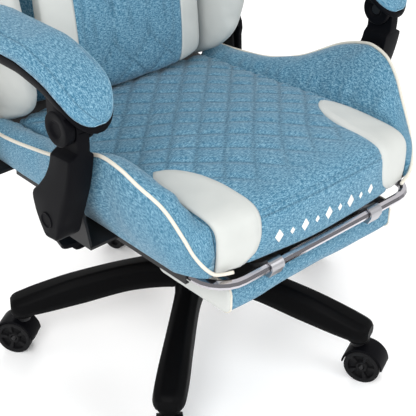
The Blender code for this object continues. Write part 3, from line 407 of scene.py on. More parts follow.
# %% Cloth and leatherette
def heather_cloth(name, deep, middle, pale):
    """Threads cross at a fixed pitch; stretched noise along each set picks deep or pale yarn."""
    cloth = Finish(name, Specular_IOR_Level=0.25, Sheen_Weight=0.16, Sheen_Roughness=0.45, Roughness=0.92)
    along = cloth.place(cloth=True)
    warp = cloth.place(cloth=True, scale=(1.0, 0.24, 1.0))
    weft = cloth.place(cloth=True, scale=(0.34, 1.0, 1.0))
    slub_warp = cloth.noise(warp, 640.0, 3.0, 0.72)
    slub_weft = cloth.noise(weft, 600.0, 2.0, 0.70)
    fine = cloth.noise(along, 950.0, 2.0, 0.7)
    cloud = cloth.noise(along, 22.0, 3.0, 0.55)
    split = cloth.node("SeparateXYZ", Vector=along)
    pitch = 2 * math.pi / 0.0016
    x, y = cloth.num(split.outputs["X"]), cloth.num(split.outputs["Y"])
    weave = (x * pitch).sine() * (y * pitch).sine()
    mix = slub_warp * 0.64 + slub_weft * 0.34 + fine * 0.32 + cloud * 0.04 - 0.17
    shade = cloth.blend(mix.step(0.41, 0.67), deep, pale)
    toned = cloth.blend(0.24, shade, middle)
    # Painted shade: the weave's hollows, between the crossing threads, are darkened toward the deep yarn.
    hollow_shade = (0.5 - weave * 0.5) * 0.18
    woven = cloth.blend(hollow_shade, toned, deep)
    # Painted shade: the colour darkens where the crease attribute marks a seam pulling the cloth in.
    seam_shade = cloth.num(cloth.node("Attribute", {"attribute_name": "crease"}).outputs["Fac"])
    colour = cloth.blend(seam_shade * 0.42, woven, tuple(c * 0.45 for c in deep))
    height = weave * 0.35 + slub_warp * 0.8 + slub_weft * 0.8
    return cloth.wire(colour, height=height, depth=0.0004, strength=0.55)


def leatherette(name, colour, crease):
    """Voronoi pebbles and broad folds raise the skin; a slow noise tints it toward the crease colour."""
    hide = Finish(name, Specular_IOR_Level=0.30, Coat_Roughness=0.35, Roughness=0.52)
    place = hide.place()
    cells = hide.node("TexVoronoi", {"feature": "F1"}, Vector=place, Scale=900.0)
    pebble = hide.num(cells.outputs["Distance"])
    folds = hide.noise(place, 55.0, 4.0, 0.6)
    dirt = hide.noise(place, 9.0, 3.0, 0.6)
    tone = hide.blend(dirt.step(0.35, 0.75) * 0.5, colour, crease)
    return hide.wire(
        tone, 0.42 + folds * 0.16, pebble * 0.25 + folds * 1.2, depth=0.0006, strength=0.35
    )


BLUE = heather_cloth("heather_cloth", (0.020, 0.105, 0.185), (0.060, 0.225, 0.345), (0.350, 0.570, 0.690))
WHITE = leatherette("white_leatherette", (0.53, 0.545, 0.525), (0.43, 0.45, 0.435))
CREAM = leatherette("cream_piping", (0.66, 0.63, 0.55), (0.54, 0.51, 0.44))


# %% Mouldings, metal and board
STREAK_RISE = 0.42


def moulded(name, colour, roughness, grain=1800.0, worn=0.5, shine=0.16):
    """Satin plastic: fine grain, a slow change of gloss, and dust-pale scuffs scattered by a noise."""
    plastic = Finish(name, Specular_IOR_Level=shine)
    place = plastic.place()
    fine = plastic.noise(place, grain, 2.0, 0.6)
    slow = plastic.noise(place, 14.0, 3.0, 0.5)
    scuff = plastic.noise(place, 120.0, 4.0, 0.7).step(0.62, 0.80) * worn
    tone = plastic.blend(scuff * 0.35, colour, tuple(c * 1.8 + 0.004 for c in colour))
    rough = roughness + slow * 0.12 + scuff * 0.12 - 0.06
    return plastic.wire(tone, rough, fine, depth=0.0002, strength=0.35)


def coated_steel(name, colour):
    """Paint on metal: a fine orange-peel bump, with the colour and gloss changing slowly."""
    steel = Finish(name, Metallic=0.15, Specular_IOR_Level=0.25)
    place = steel.place()
    peel = steel.noise(place, 420.0, 2.0, 0.5)
    slow = steel.noise(place, 30.0, 3.0, 0.5)
    tone = steel.blend(slow.step(0.4, 0.8) * 0.4, colour, tuple(c * 1.7 for c in colour))
    return steel.wire(tone, 0.38 + slow * 0.14, peel, depth=0.0003, strength=0.3)


def bright_metal(name, colour, roughness, streak=0.0):
    """Plated metal with a rubbed grain. streak paints a dark line where the faces' normals have z
    near STREAK_RISE, standing in for the dark room that a bright tube would mirror there."""
    metal = Finish(name, Metallic=1.0)
    place = metal.place()
    smear = metal.noise(place, 40.0, 4.0, 0.6)
    rub = metal.noise(metal.place(scale=(0.05, 1.0, 1.0)), 900.0, 2.0, 0.6)
    tone = metal.blend(smear.step(0.4, 0.8) * 0.35, colour, tuple(c * 0.82 for c in colour))
    if streak:
        facing = metal.node("SeparateXYZ", Vector=metal.node("NewGeometry").outputs["Normal"])
        level = (metal.num(facing.outputs["Z"]) - STREAK_RISE).size()
        tone = metal.blend((1.0 - level.step(0.03, 0.15)) * streak, tone, (0.02, 0.02, 0.025))
    return metal.wire(tone, roughness + smear * 0.10, rub, depth=0.0001, strength=0.12)


def plywood(name):
    """Distorted wave bands stand for the wood's growth rings, pale between dark."""
    board = Finish(name, Roughness=0.7)
    rings = board.node(
        "TexWave", {"wave_type": "BANDS", "bands_direction": "X"},
        Vector=board.place(), Scale=14.0, Distortion=6.0, Detail=3.0, Detail_Scale=1.6,
    )
    grain = board.num(rings.outputs["Fac"])
    tone = board.blend(grain, (0.42, 0.27, 0.15), (0.56, 0.39, 0.23))
    return board.wire(tone, 0.62 + grain * 0.15, grain, depth=0.0003, strength=0.2)


def tread_rubber(name):
    """Dull black with a noise of grey dust over it."""
    tread = Finish(name, Specular_IOR_Level=0.12)
    place = tread.place()
    dust = tread.noise(place, 60.0, 4.0, 0.65)
    tone = tread.blend(dust.step(0.45, 0.8) * 0.5, (0.0050, 0.0050, 0.0058), (0.016, 0.016, 0.016))
    return tread.wire(tone, 0.5 + dust * 0.2, tread.noise(place, 900.0), depth=0.0002, strength=0.3)


BLACK = moulded("satin_black_moulding", (0.0032, 0.0033, 0.0044), 0.44, shine=0.035)
BASE_BLACK = moulded("base_black_moulding", (0.0018, 0.0019, 0.0022), 0.50, 1400.0, shine=0.05)
SHELL = moulded("rear_shell_black", (0.010, 0.010, 0.0115), 0.52, 900.0, 0.3, shine=0.2)
STEEL = coated_steel("powder_coated_steel", (0.012, 0.012, 0.013))
SPRING = coated_steel("oiled_spring_steel", (0.03, 0.03, 0.032))
CHROME = bright_metal("bright_chrome", (0.62, 0.60, 0.64), 0.08, 0.70)
ZINC = bright_metal("zinc_plated_steel", (0.42, 0.42, 0.44), 0.26)
BOARD = plywood("seat_plywood")
TREAD = tread_rubber("castor_tread")
THREAD_WHITE = leatherette("white_thread", (0.78, 0.79, 0.76), (0.62, 0.63, 0.61))
THREAD_BLUE = heather_cloth(
    "blue_thread", (0.030, 0.095, 0.150), (0.060, 0.160, 0.240), (0.110, 0.250, 0.350)
)
THREAD_PALE = heather_cloth("pale_blue_cord", (0.09, 0.22, 0.32), (0.20, 0.36, 0.46), (0.36, 0.52, 0.60))
UNDER = heather_cloth("black_lining", (0.006, 0.006, 0.007), (0.010, 0.010, 0.011), (0.022, 0.022, 0.024))

NODE_FINISH = {
    "gas_cylinder": CHROME, "tilt_pin": CHROME, "footrest_frame": CHROME, "seat_board": BOARD,
    "tilt_spring": SPRING, "star_base": BASE_BLACK, "back_shell": SHELL, "footrest_board": ZINC,
}
STEEL_NODES = (
    "gas_column", "tilt_housing", "seat_frame", "seat_plate", "back_frame",
    "footrest_guide", "back_hinge_plate", "recline_bracket", "arm_bracket",
)
for name, node in frame["nodes"].items():
    if name in NODE_FINISH:
        chosen = NODE_FINISH[name]
    elif name.startswith(STEEL_NODES):
        chosen = STEEL
    elif name.startswith("castor_wheel"):
        chosen = TREAD
    else:
        chosen = BLACK
    node.data.materials.clear()
    node.data.materials.append(chosen)
print(len(frame["nodes"]), "CAD nodes have a finish")

# %% [markdown]
# ## The seat panel
# The middle of the seat is one cloth panel over foam, stitched through in a diamond grid. Its side
# profile is a smooth curve: low at the back, rising to the thighs and rolling over the front edge.
# Across the seat it is crowned. The stitched grid is a formula: each point's distance to the nearest
# stitch line says how far the foam pushes the cloth up.

# %% Panel surface
CUSHION_HALF = 0.1945
CROWN = 0.013
PROFILE = np.array([
    # y, height over the seat's underside, share of the crown
    (0.203, 0.045, 0.0), (0.199, 0.0525, 0.3), (0.190, 0.0565, 0.5), (0.160, 0.0590, 0.8),
    (0.110, 0.0620, 1.0), (0.050, 0.0655, 1.0), (0.000, 0.0690, 1.0), (-0.050, 0.0727, 1.0),
    (-0.100, 0.0755, 1.0), (-0.150, 0.0757, 1.0), (-0.200, 0.0745, 1.0),
    (-0.232, 0.0725, 1.0), (-0.247, 0.0695, 0.95), (-0.2565, 0.0640, 0.85),
    (-0.2615, 0.0555, 0.65), (-0.2630, 0.0450, 0.40), (-0.2630, 0.0300, 0.15), (-0.2620, 0.0150, 0.05),
    (-0.2602, 0.0045, 0.0), (-0.2592, -0.0020, 0.0),
])
FRONT_BOW = 0.021
walk = walked_along(PROFILE[:, :2])
PANEL_LENGTH = walk[-1]
profile_at = curve_through(walk, PROFILE)


def walk_at(y):
    """How far along the profile the top of the panel reaches a given y."""
    fine = np.linspace(0, PANEL_LENGTH, 600)
    return np.interp(-np.asarray(y, float), -profile_at(fine)[:, 0], fine)


def panel(x, s):
    """The panel's surface: profile at s, pushed out in front and crowned by 1 - (x / half)^2."""
    x, s = np.broadcast_arrays(np.asarray(x, float), np.asarray(s, float))
    profile = profile_at(s)
    crown = 1 - np.clip(np.abs(x) / CUSHION_HALF, 0, 1) ** 2
    forward = 1 / (1 + np.exp(-(s - (PANEL_LENGTH - 0.125)) / 0.018))
    y = profile[..., 0] - FRONT_BOW * crown * forward
    z = profile[..., 1] + CROWN * profile[..., 2] * crown
    return np.stack([x, y, z], -1)


def panel_normal(x, s):
    """The unit vector square to the panel, from small steps both ways along it."""
    step = 5e-4
    du = panel(np.asarray(x) + step, s) - panel(np.asarray(x) - step, s)
    dv = panel(x, np.asarray(s) + step) - panel(x, np.asarray(s) - step)
    normal = np.cross(dv, du)
    return normal / np.linalg.norm(normal, axis=-1, keepdims=True)


def groove(distance, width):
    """0 on a seam, rising smoothly to 1 once width away from it."""
    return 1 - np.exp(-(distance / width) ** 2)


# The insert's inner edge, as half width against the way along the panel.
insert_tip = float(walk_at(-0.108))
INNER_Y = [-0.108, -0.117, -0.131, -0.155, -0.173, -0.201, -0.235]
inner_s = np.r_[walk_at(INNER_Y), PANEL_LENGTH - np.array([0.0645, 0.0405, 0.0190, 0.0])]
INNER_X = [0.171, 0.156, 0.144, 0.133, 0.128, 0.124, 0.124, 0.1245, 0.1240, 0.1290, 0.1480]
insert_inner = curve_through(inner_s, INNER_X)
OUTER_S = np.r_[insert_tip + np.array([0.0, 0.006, 0.020, 0.045, 0.080]), PANEL_LENGTH]
insert_outer = curve_through(OUTER_S, [0.171, 0.180, 0.187, 0.1915, 0.1935, 0.1935])
STITCH_LINE = PANEL_LENGTH - 0.0665
STITCH_GAP = 0.0075

QUILT_PITCH = 0.040
QUILT_PUFF = 0.0031


def seam_distance(across, along, pitch):
    """Distance to the nearest line of a diamond grid whose lines are pitch apart, at 45 degrees."""
    diagonals = ((across + along) / math.sqrt(2), (across - along) / math.sqrt(2))
    near = [np.abs((v / pitch + 0.5) % 1 - 0.5) * pitch for v in diagonals]
    return np.minimum(*near)


def make_seat_panel():
    """The panel plus a puff along its normal: 1 - exp(-(d / width)^2) at d from the nearest seam."""
    across = np.sin(np.linspace(-1, 1, 125) * math.pi / 2 * 0.96) / math.sin(math.pi / 2 * 0.96)
    x, s = np.meshgrid(across * CUSHION_HALF, np.linspace(0, PANEL_LENGTH, 190))
    inner = np.where(s > insert_tip, insert_inner(s), CUSHION_HALF)
    to_insert = np.abs(inner - np.abs(x))
    quilted = (1 / (1 + np.exp((s - walk_at(-0.215)) / 0.010))) * (np.abs(x) < inner - 0.002)
    puff = QUILT_PUFF * groove(seam_distance(x, s, QUILT_PITCH), 0.0060) * quilted
    # Painted shade: crease darkens the cloth along the quilting seams and, a few lines on, along the two
    # stitched lines.
    crease = (1 - groove(seam_distance(x, s, QUILT_PITCH), 0.0022)) * quilted
    puff += QUILT_PUFF * 0.8 * (1 - quilted)
    puff *= groove(to_insert, 0.005) * 0.9 + 0.1
    for line in (STITCH_LINE, STITCH_LINE + STITCH_GAP):
        puff -= 0.0010 * np.exp(-((s - line) / 0.0018) ** 2) * (np.abs(x) < inner)
        crease += 0.8 * np.exp(-((s - line) / 0.0015) ** 2) * (np.abs(x) < inner)
    puff -= 0.004 * np.exp(-((CUSHION_HALF - np.abs(x)) / 0.006) ** 2)
    points = panel(x, s)
    puff += 0.0012 * ripple(points, 0.11, 3) * groove(CUSHION_HALF - np.abs(x), 0.02)
    top = points + panel_normal(x, s) * puff[..., None]
    back = np.stack([x[0], np.full(len(x[0]), 0.200), np.full(len(x[0]), 0.024)], -1)
    front = top[-1] + [0.0, 0.012, 0.0]
    front_up = front + [0.0, 0.008, 0.020]
    grid = np.concatenate([back[None], top, front[None], front_up[None]])
    # More painted shade along the panel's side edges, beside the bolsters.
    crease += np.exp(-((CUSHION_HALF - np.abs(x)) / 0.0035) ** 2)
    crease = np.pad(np.clip(crease, 0, 1), ((1, 2), (0, 0)))
    grid = (grid + SEAT).transpose(1, 0, 2)
    made = surface("seat_panel", grid, BLUE, wrap=True, caps=True, crease=crease.T)
    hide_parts("seat_cushion")
    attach(made, "seat")
    return made


seat_panel = make_seat_panel()
print("seat panel", len(seat_panel.data.polygons), "faces")


# %% [markdown]
# ## Inserts, stitching and the front band
# Each side of the panel has a curved leatherette insert that starts as a point beside the thigh and
# widens to the front corner. It is a patch between two seam curves, laid on the panel's own surface
# and puffed a little, so it can't drift off the cushion. Threads are short tubes laid along a seam.

# %% Inserts
def make_insert(side, label):
    """The panel's own points between the two seam curves, lifted where they are away from a seam."""
    t = np.linspace(0, 1, 110)[:, None] ** 1.15
    s = insert_tip + 0.0008 + t * (PANEL_LENGTH - 0.0006 - insert_tip - 0.0008)
    inner, outer = insert_inner(s[:, 0])[:, None], insert_outer(s[:, 0])[:, None]
    a = np.linspace(0, 1, 26)[None, :]
    x = inner + (outer - inner) * a
    s = np.broadcast_to(s, x.shape)
    inward = np.minimum(x - inner, outer - x)
    lift = 0.0006 + 0.0024 * groove(inward, 0.006) - 0.0022 * (inward < 1e-6)
    lift += 0.0007 * ripple(panel(x, s), 0.06, 11) * groove(inward, 0.012)
    lift -= 0.0010 * np.exp(-((x - inner - 0.0065) / 0.0016) ** 2)
    points = panel(x, s) + panel_normal(x, s) * lift[..., None]
    points[..., 0] *= side
    if side > 0:
        points = points[:, ::-1]
    made = surface(f"seat_insert_{label}", points[:, ::-1] + SEAT, WHITE)
    give_wall(made, 0.0016)
    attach(made, "seat")
    return made


for side, label in SIDES:
    make_insert(side, label)


# %% Threads
def stitches(name, line, normal, finish, body, pitch=0.0052, length=0.0036, radius=0.00042):
    """Short tapered threads end to end along a line, each half sunk in the cloth."""
    line, normal = np.asarray(line, float), np.asarray(normal, float)
    walked = walked_along(line)
    starts = np.arange(pitch / 2, walked[-1] - pitch / 2, pitch)
    at = starts[:, None] + length * np.array([-0.5, -0.25, 0.25, 0.5])
    sink = np.array([-0.9, 0.35, 0.35, -0.9]) * radius

    def sample(values):
        """The line's points, or its normals, at every thread's four stations."""
        return np.stack([np.interp(at, walked, values[:, k]) for k in range(3)], -1)

    middle, up = sample(line), sample(normal)
    up /= np.linalg.norm(up, axis=-1, keepdims=True)
    along = middle[:, -1:] - middle[:, :1]
    along = along / np.linalg.norm(along, axis=-1, keepdims=True)
    side = np.cross(along, up)
    middle = middle + up * sink[:, None]
    width = np.array([0.35, 1.0, 1.0, 0.35])[:, None] * radius
    ring = [
        middle + side * width * math.cos(a) + up * width * math.sin(a)
        for a in np.linspace(0, 2 * math.pi, 5, endpoint=False)
    ]
    points = np.stack(ring, 2)                       # stitch, station, around, xyz
    count = len(starts)
    base = (np.arange(count) * 20)[:, None]
    k = np.arange(5)
    quads = [
        np.stack([base + 5 * j + k, base + 5 * j + (k + 1) % 5, base + 5 * j + 5 + (k + 1) % 5,
                  base + 5 * j + 5 + k], -1).reshape(-1, 4)
        for j in range(3)
    ]
    ends = [(base + k[::-1]).tolist(), (base + 15 + k).tolist()]
    mesh = bpy.data.meshes.new(name)
    mesh.from_pydata(points.reshape(-1, 3).tolist(), [], np.vstack(quads).tolist() + ends[0] + ends[1])
    uv = mesh.uv_layers.new(name="cloth")
    co = points.reshape(-1, 3)[[l.vertex_index for l in mesh.loops]]
    uv.data.foreach_set("uv", co[:, :2].astype(np.float32).ravel())
    face_outwards(mesh)
    made = piece(name, mesh, finish)
    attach(made, body)
    return made


def panel_line(name, x, s, lift, finish):
    """Threads along a line on the seat panel, lift above its plain surface."""
    x, s = np.broadcast_arrays(np.asarray(x, float), np.asarray(s, float))
    normal = panel_normal(x, s)
    stitches(name, panel(x, s) + normal * lift + SEAT, normal, finish, "seat")


band = np.linspace(-0.119, 0.119, 120)
panel_line("band_stitch_upper", band, STITCH_LINE, 0.0016, THREAD_BLUE)
panel_line("band_stitch_lower", band, STITCH_LINE + STITCH_GAP, 0.0016, THREAD_BLUE)
for side, label in SIDES:
    run = np.linspace(insert_tip + 0.030, PANEL_LENGTH - 0.003, 90)
    panel_line(f"insert_stitch_{label}", side * (insert_inner(run) + 0.0065), run, 0.0022, THREAD_WHITE)


# %% The front band's motif: a plain row of embroidered diamonds
def make_motif():
    """Diamonds from |x| + |y| = 1 with softened corners, in four rings that rise to the middle."""
    t = np.linspace(0, 2 * math.pi, 32, endpoint=False)
    shape = np.stack([np.cos(t), np.sin(t)], -1)
    shape /= np.abs(shape).sum(1, keepdims=True) ** 0.92
    centre_s = PANEL_LENGTH - 0.0255
    verts, faces = [], []
    for i, x0 in enumerate(np.arange(-4, 5) * 0.0235):
        tall, wide = (0.0105, 0.0078) if i % 2 == 0 else (0.0060, 0.0045)
        for scale, lift in ((1.0, 0.0004), (0.90, 0.0027), (0.45, 0.0033), (0.0, 0.0034)):
            x = x0 + shape[:, 0] * wide * scale
            s = centre_s + shape[:, 1] * tall * scale
            verts.append(panel(x, s) + panel_normal(x, s) * lift + SEAT)
        start = i * 4 * 32
        k = np.arange(32)
        for row in range(3):
            low, high = start + 32 * row, start + 32 * (row + 1)
            faces.append(np.stack([low + k, low + (k + 1) % 32, high + (k + 1) % 32, high + k], -1))
    mesh = bpy.data.meshes.new("front_motif")
    mesh.from_pydata(np.vstack(verts).tolist(), [], np.vstack(faces).tolist())
    face_outwards(mesh, merge=True, fill=True)
    made = piece("front_motif", mesh, THREAD_WHITE)
    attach(made, "seat")


make_motif()

# %% [markdown]
# ## Bolsters and piping
# A racing seat's sides rise to a hump beside the thigh and fall away to the front. Each bolster is a
# run of sections: out along the bottom, up the outer wall to the piped edge, and back over the padded
# top to the crease beside the panel. The piping is a cord in leatherette sewn into that edge.

# %% Bolster surface
EDGE = np.array([
    # y, half width, height of the piped edge
    (0.205, 0.243, 0.056), (0.155, 0.2450, 0.0590), (0.069, 0.2470, 0.0725), (0.018, 0.2570, 0.0890),
    (-0.049, 0.2835, 0.1250), (-0.093, 0.2790, 0.1410), (-0.121, 0.2710, 0.1480), (-0.155, 0.2650, 0.1410),
    (-0.183, 0.2560, 0.1220), (-0.210, 0.2410, 0.0970), (-0.239, 0.2290, 0.0570), (-0.252, 0.2220, 0.0330),
    (-0.263, 0.2120, 0.0135),
])
BOLSTER_CREASE = 0.1965     # half width at which the bolster meets the panel
edge_at = curve_through(-EDGE[:, 0], EDGE[:, 1:])
crease_at = curve_through([-0.205, 0.200, 0.250, 0.258, 0.263], [0.0525, 0.0740, 0.0715, 0.058, 0.030])


def bolster_sections(ys):
    """Rings of points: bottom, outer wall, top and inner wall, each a straight run plus a bulge."""
    half, height = edge_at(-ys).T
    crease = crease_at(-ys)
    top = np.stack([np.full(len(ys), BOLSTER_CREASE), np.maximum(crease - 0.004, 0.0)], -1)
    edge = np.stack([half, height], -1)
    low = np.stack([np.minimum(0.2325, half - 0.004), np.full(len(ys), -0.0025)], -1)
    foot = np.broadcast_to([0.1990, -0.0025], low.shape)

    def run(a, b, count, bulge, shape):
        """Points from a towards b, with bulge * shape(t) added square to the straight line."""
        t = np.linspace(0, 1, count, endpoint=False)[None, :, None]
        along = b - a
        normal = np.stack([along[:, 1], -along[:, 0]], -1)
        normal /= np.linalg.norm(normal, axis=1, keepdims=True)
        return a[:, None] + along[:, None] * t + normal[:, None] * bulge[:, None, None] * shape(t)

    tall = np.linalg.norm(edge - low, axis=1)
    wide = np.linalg.norm(edge - top, axis=1)
    dome = lambda t: np.sin(math.pi * t) ** 0.75
    parts = [
        run(foot, low, 5, 0 * tall, dome),
        run(low, edge, 26, np.minimum(0.010, 0.09 * tall), dome),
        run(edge, top, 34, np.minimum(0.015, 0.24 * wide), lambda t: np.sin(math.pi * t ** 0.85) ** 0.8),
        run(top, foot, 6, 0 * tall, dome),
    ]
    return np.concatenate(parts, 1)


def make_bolster(side, label):
    """The sections joined along y, waved gently, with puckers beside the crease."""
    ys = smooth_line([[0.205], [0.10], [0.0], [-0.12], [-0.20], [-0.245], [-0.2625]], 110)[:, 0]
    section = bolster_sections(ys)
    x, z = section[..., 0], section[..., 1]
    y = np.broadcast_to(ys[:, None], x.shape)
    points = np.stack([side * x, y, z], -1)
    normal = outward(points)
    if side < 0:
        normal = -normal
    column = np.arange(x.shape[1])[None, :]
    on_wall = (column > 6) & (column < 30)
    on_top = (column > 33) & (column < 62)
    wave = 0.0016 * ripple(points, 0.085, 5 + side) * on_wall
    wave += 0.0016 * ripple(points, 0.060, 9 + side) * on_top
    pucker = np.exp(-((x - BOLSTER_CREASE - 0.006) / 0.012) ** 2) * on_top
    wave += 0.0014 * np.sin(y * 2 * math.pi / 0.034 + 2.0 * ripple(points, 0.1, 4)) * pucker
    points = points + normal * wave[..., None]
    # Painted shade: the cloth darkens along the crease where the bolster's top meets the seat panel.
    crease = np.exp(-((x - BOLSTER_CREASE) / 0.0045) ** 2) * on_top
    name = f"seat_bolster_cover_{label}"
    made = surface(name, points + SEAT, BLUE, wrap=True, caps=True, crease=crease)
    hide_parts(f"seat_bolster_{label}")
    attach(made, "seat")
    return made


for side, label in SIDES:
    make_bolster(side, label)


# %% Piping along the bolsters
PIPE_RADIUS = 0.0027
PIPE_FRONT = [
    (0.2110, -0.2645, 0.0125), (0.2020, -0.2680, 0.0040),
    (0.1890, -0.2710, 0.0000), (0.1750, -0.2760, -0.0005),
]
for side, label in SIDES:
    edge = [(h + 0.0012, y, z + 0.0012) for y, h, z in EDGE[:-1]]
    line = smooth_line([(side * x, y, z) for x, y, z in edge + PIPE_FRONT], 150)
    pipe = sweep(f"seat_piping_{label}", line + SEAT, PIPE_RADIUS, CREAM)
    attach(pipe, "seat")

# %% Lining under the seat
LINING_WALL = 0.0012
lining_y = np.linspace(0.190, -0.262, 30)
lining_x = np.linspace(-0.203, 0.203, 44)
grid_x, grid_y = np.meshgrid(lining_x, lining_y)
front_pull = 1 / (1 + np.exp((grid_y + 0.235) / 0.006))
grid_y = grid_y - front_pull * 0.012 * (1 - (grid_x / 0.1945) ** 2)
sag = -0.0028 + 0.0005 * np.sin(grid_x * 70) * np.sin(grid_y * 60)
lining = surface("seat_front_lining", np.stack([grid_x, grid_y, sag], -1)[24:][:, ::-1] + SEAT, UNDER)
give_wall(lining, LINING_WALL)
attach(lining, "seat")

# Behind the seat the same lining drops to the frame and runs back under the backrest.
rear_line = smooth_line([(0.190, 0.040), (0.203, 0.030), (0.212, 0.016), (0.235, 0.0125), (0.285, 0.0125),
                         (0.302, 0.018), (0.312, 0.034)], 30)
rear_x = np.linspace(-0.258, 0.258, 60)
rear_grid = np.stack([
    np.broadcast_to(rear_x[None, :], (30, 60)), np.broadcast_to(rear_line[:, :1], (30, 60)),
    rear_line[:, 1:] + 0.0005 * np.sin(rear_x * 60)[None, :],
], -1)
rear_lining = surface("seat_rear_lining", rear_grid[:, ::-1] + SEAT, UNDER)
give_wall(rear_lining, LINING_WALL)
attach(rear_lining, "seat")
print("seat upholstered")

# %% [markdown]
# ## Soft pieces that are simulated
# The footrest pad, the back's wings and the pillows get their shape from a formula, and are then blown
# up a little as cloth: pressure pushes the cover out, and the weave holds it back. The movement is
# capped at a few millimetres so that each piece stays in its place.

# %% Cloth simulation
def inflate(made, hold, pressure, cap, frames=20, stiff=15.0):
    """Cloth with pressure and no gravity. hold is each point's pinning, 0 free to 1 fixed.

    A point that the cloth moved by far is kept moved by cap * tanh(far / cap), which is never past cap.
    """
    mesh = made.data
    count = len(mesh.vertices)
    rest = np.zeros(count * 3)
    mesh.vertices.foreach_get("co", rest)
    pins = made.vertex_groups.new(name="held")
    for level in np.unique(np.round(hold, 1)):
        if level > 0:
            pins.add(np.flatnonzero(np.round(hold, 1) == level).tolist(), float(level), "REPLACE")
    cloth = made.modifiers.new("cloth", "CLOTH")
    cloth.settings.use_pressure = True
    cloth.settings.uniform_pressure_force = pressure
    cloth.settings.quality = 5
    cloth.settings.mass = 0.25
    cloth.settings.tension_stiffness = cloth.settings.compression_stiffness = stiff
    cloth.settings.bending_stiffness = 0.4
    cloth.settings.vertex_group_mass = "held"
    cloth.settings.effector_weights.gravity = 0.0
    cloth.point_cache.frame_end = frames
    scene = bpy.context.scene
    for step in range(1, frames + 1):
        scene.frame_set(step)
    held = made.evaluated_get(bpy.context.evaluated_depsgraph_get())
    moved = np.zeros(count * 3)
    held.data.vertices.foreach_get("co", moved)
    made.modifiers.remove(cloth)
    scene.frame_set(1)
    move = (moved - rest).reshape(-1, 3)
    far = np.linalg.norm(move, axis=1, keepdims=True)
    move *= cap * np.tanh(far / cap) / np.maximum(far, 1e-9)
    mesh.vertices.foreach_set("co", (rest.reshape(-1, 3) + move).ravel())
    mesh.update()
    made.vertex_groups.remove(made.vertex_groups["held"])
    kept = float(np.linalg.norm(move, axis=1).max())
    print(f"{made.name}: cloth moved {far.max() * 1000:.1f} mm, kept {kept * 1000:.1f} mm")
    return made


def rounded(low, high, radius, steps):
    """A rectangle's outline from its own corner points, with quarter-round corners, as an array."""
    corners = [
        (high[0] - radius, high[1] - radius, 0), (low[0] + radius, high[1] - radius, 90),
        (low[0] + radius, low[1] + radius, 180), (high[0] - radius, low[1] + radius, 270),
    ]
    out = []
    for a, b, start in corners:
        turn = np.radians(start + np.linspace(0, 90, steps))
        out.append(np.stack([a + radius * np.cos(turn), b + radius * np.sin(turn)], -1))
    return np.concatenate(out)


def even_loop(outline, count):
    """The same closed outline with its points at even distances."""
    closed = np.vstack([outline, outline[:1]])
    walked = walked_along(closed)
    at = np.linspace(0, walked[-1], count, endpoint=False)
    return np.stack([np.interp(at, walked, closed[:, k]) for k in range(closed.shape[1])], -1)


# %% [markdown]
# ## Footrest pad
# The pad is a long box of foam. Its faces are blue cloth; its two ends are leatherette, joined to the
# cloth by a piped seam round the end. The pad is one run of rounded sections between the seams, and
# each end is a cushioned cap.

# %% Footrest
PAD_LOW, PAD_HIGH = (np.array(v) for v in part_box("footrest_pad"))


def footrest_section():
    """The pad's outline across its width: its own box, drawn in a little, with round corners."""
    low = PAD_LOW[1:] + [0.0008, 0.005]
    high = PAD_HIGH[1:] - [0.0008, 0.0006]
    return even_loop(rounded(low, high, 0.014, 7), 96)


def make_footrest():
    """The outline carried along x and swollen by 1 - share^6, where share is 1 at the end seams."""
    end = PAD_HIGH[0] - 0.004
    xs = np.linspace(-end, end, 110)
    loop = footrest_section()
    share = np.abs(xs) / end
    swell = (1 - share**6)[:, None, None] * 0.0022
    middle = loop.mean(0)
    away = (loop - middle) / np.linalg.norm(loop - middle, axis=1, keepdims=True)
    yz = loop[None] + away[None] * swell
    grid = np.concatenate([np.broadcast_to(xs[:, None, None], (len(xs), len(loop), 1)), yz], -1)
    grid[..., 1:] += away[None] * (0.0009 * ripple(grid, 0.07, 21) * (1 - share**8)[:, None])[..., None]
    made = surface("footrest_cover", grid, BLUE, wrap=True, caps=True)
    tops = grid.reshape(-1, 3)
    hold = np.r_[np.clip((np.abs(tops[:, 0]) - end + 0.012) / 0.010, 0, 1), 1, 1]
    upper = np.r_[(tops[:, 2] > PAD_HIGH[2] - 0.004) * 1.0, 0, 0]
    inflate(made, np.maximum(hold, upper), pressure=2.5, cap=0.004)
    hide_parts("footrest_pad")
    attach(made, "footrest_pad")
    for side, label in SIDES:
        rings = []
        for scale, out in ((1.0, -0.0010), (1.0, 0.0010), (0.975, 0.0026), (0.92, 0.0038), (0.80, 0.0048),
                           (0.60, 0.0055), (0.40, 0.0058), (0.20, 0.0060)):
            flat = middle + (loop - middle) * scale
            rings.append(np.c_[np.full(len(loop), side * (end + out)), flat])
        grid = np.array(rings)
        wobble = 0.0006 * ripple(grid, 0.045, 31)
        wobble[:2] = 0
        grid[..., 0] += side * wobble
        cap = surface(f"footrest_end_{label}", grid, WHITE, wrap=True, caps=True)
        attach(cap, "footrest_pad")
        ring = np.c_[np.full(len(loop), side * (end - 0.0004)), middle + (loop - middle) * 1.006]
        ring = np.vstack([ring, ring[:1]])
        pipe = sweep(f"footrest_piping_{label}", ring, 0.0016, CREAM, sides=8)
        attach(pipe, "footrest_pad")


make_footrest()

# %% [markdown]
# ## Armrests
# The arm is a black tray with a cloth-covered pad on it. Both follow one line: level behind, then
# dipping over the front pivot to a rounded nose. The support below is a moulded plate. Round
# cheeks with a dimple cover the pivot at its top, and a low round cover hides the screw at its foot.

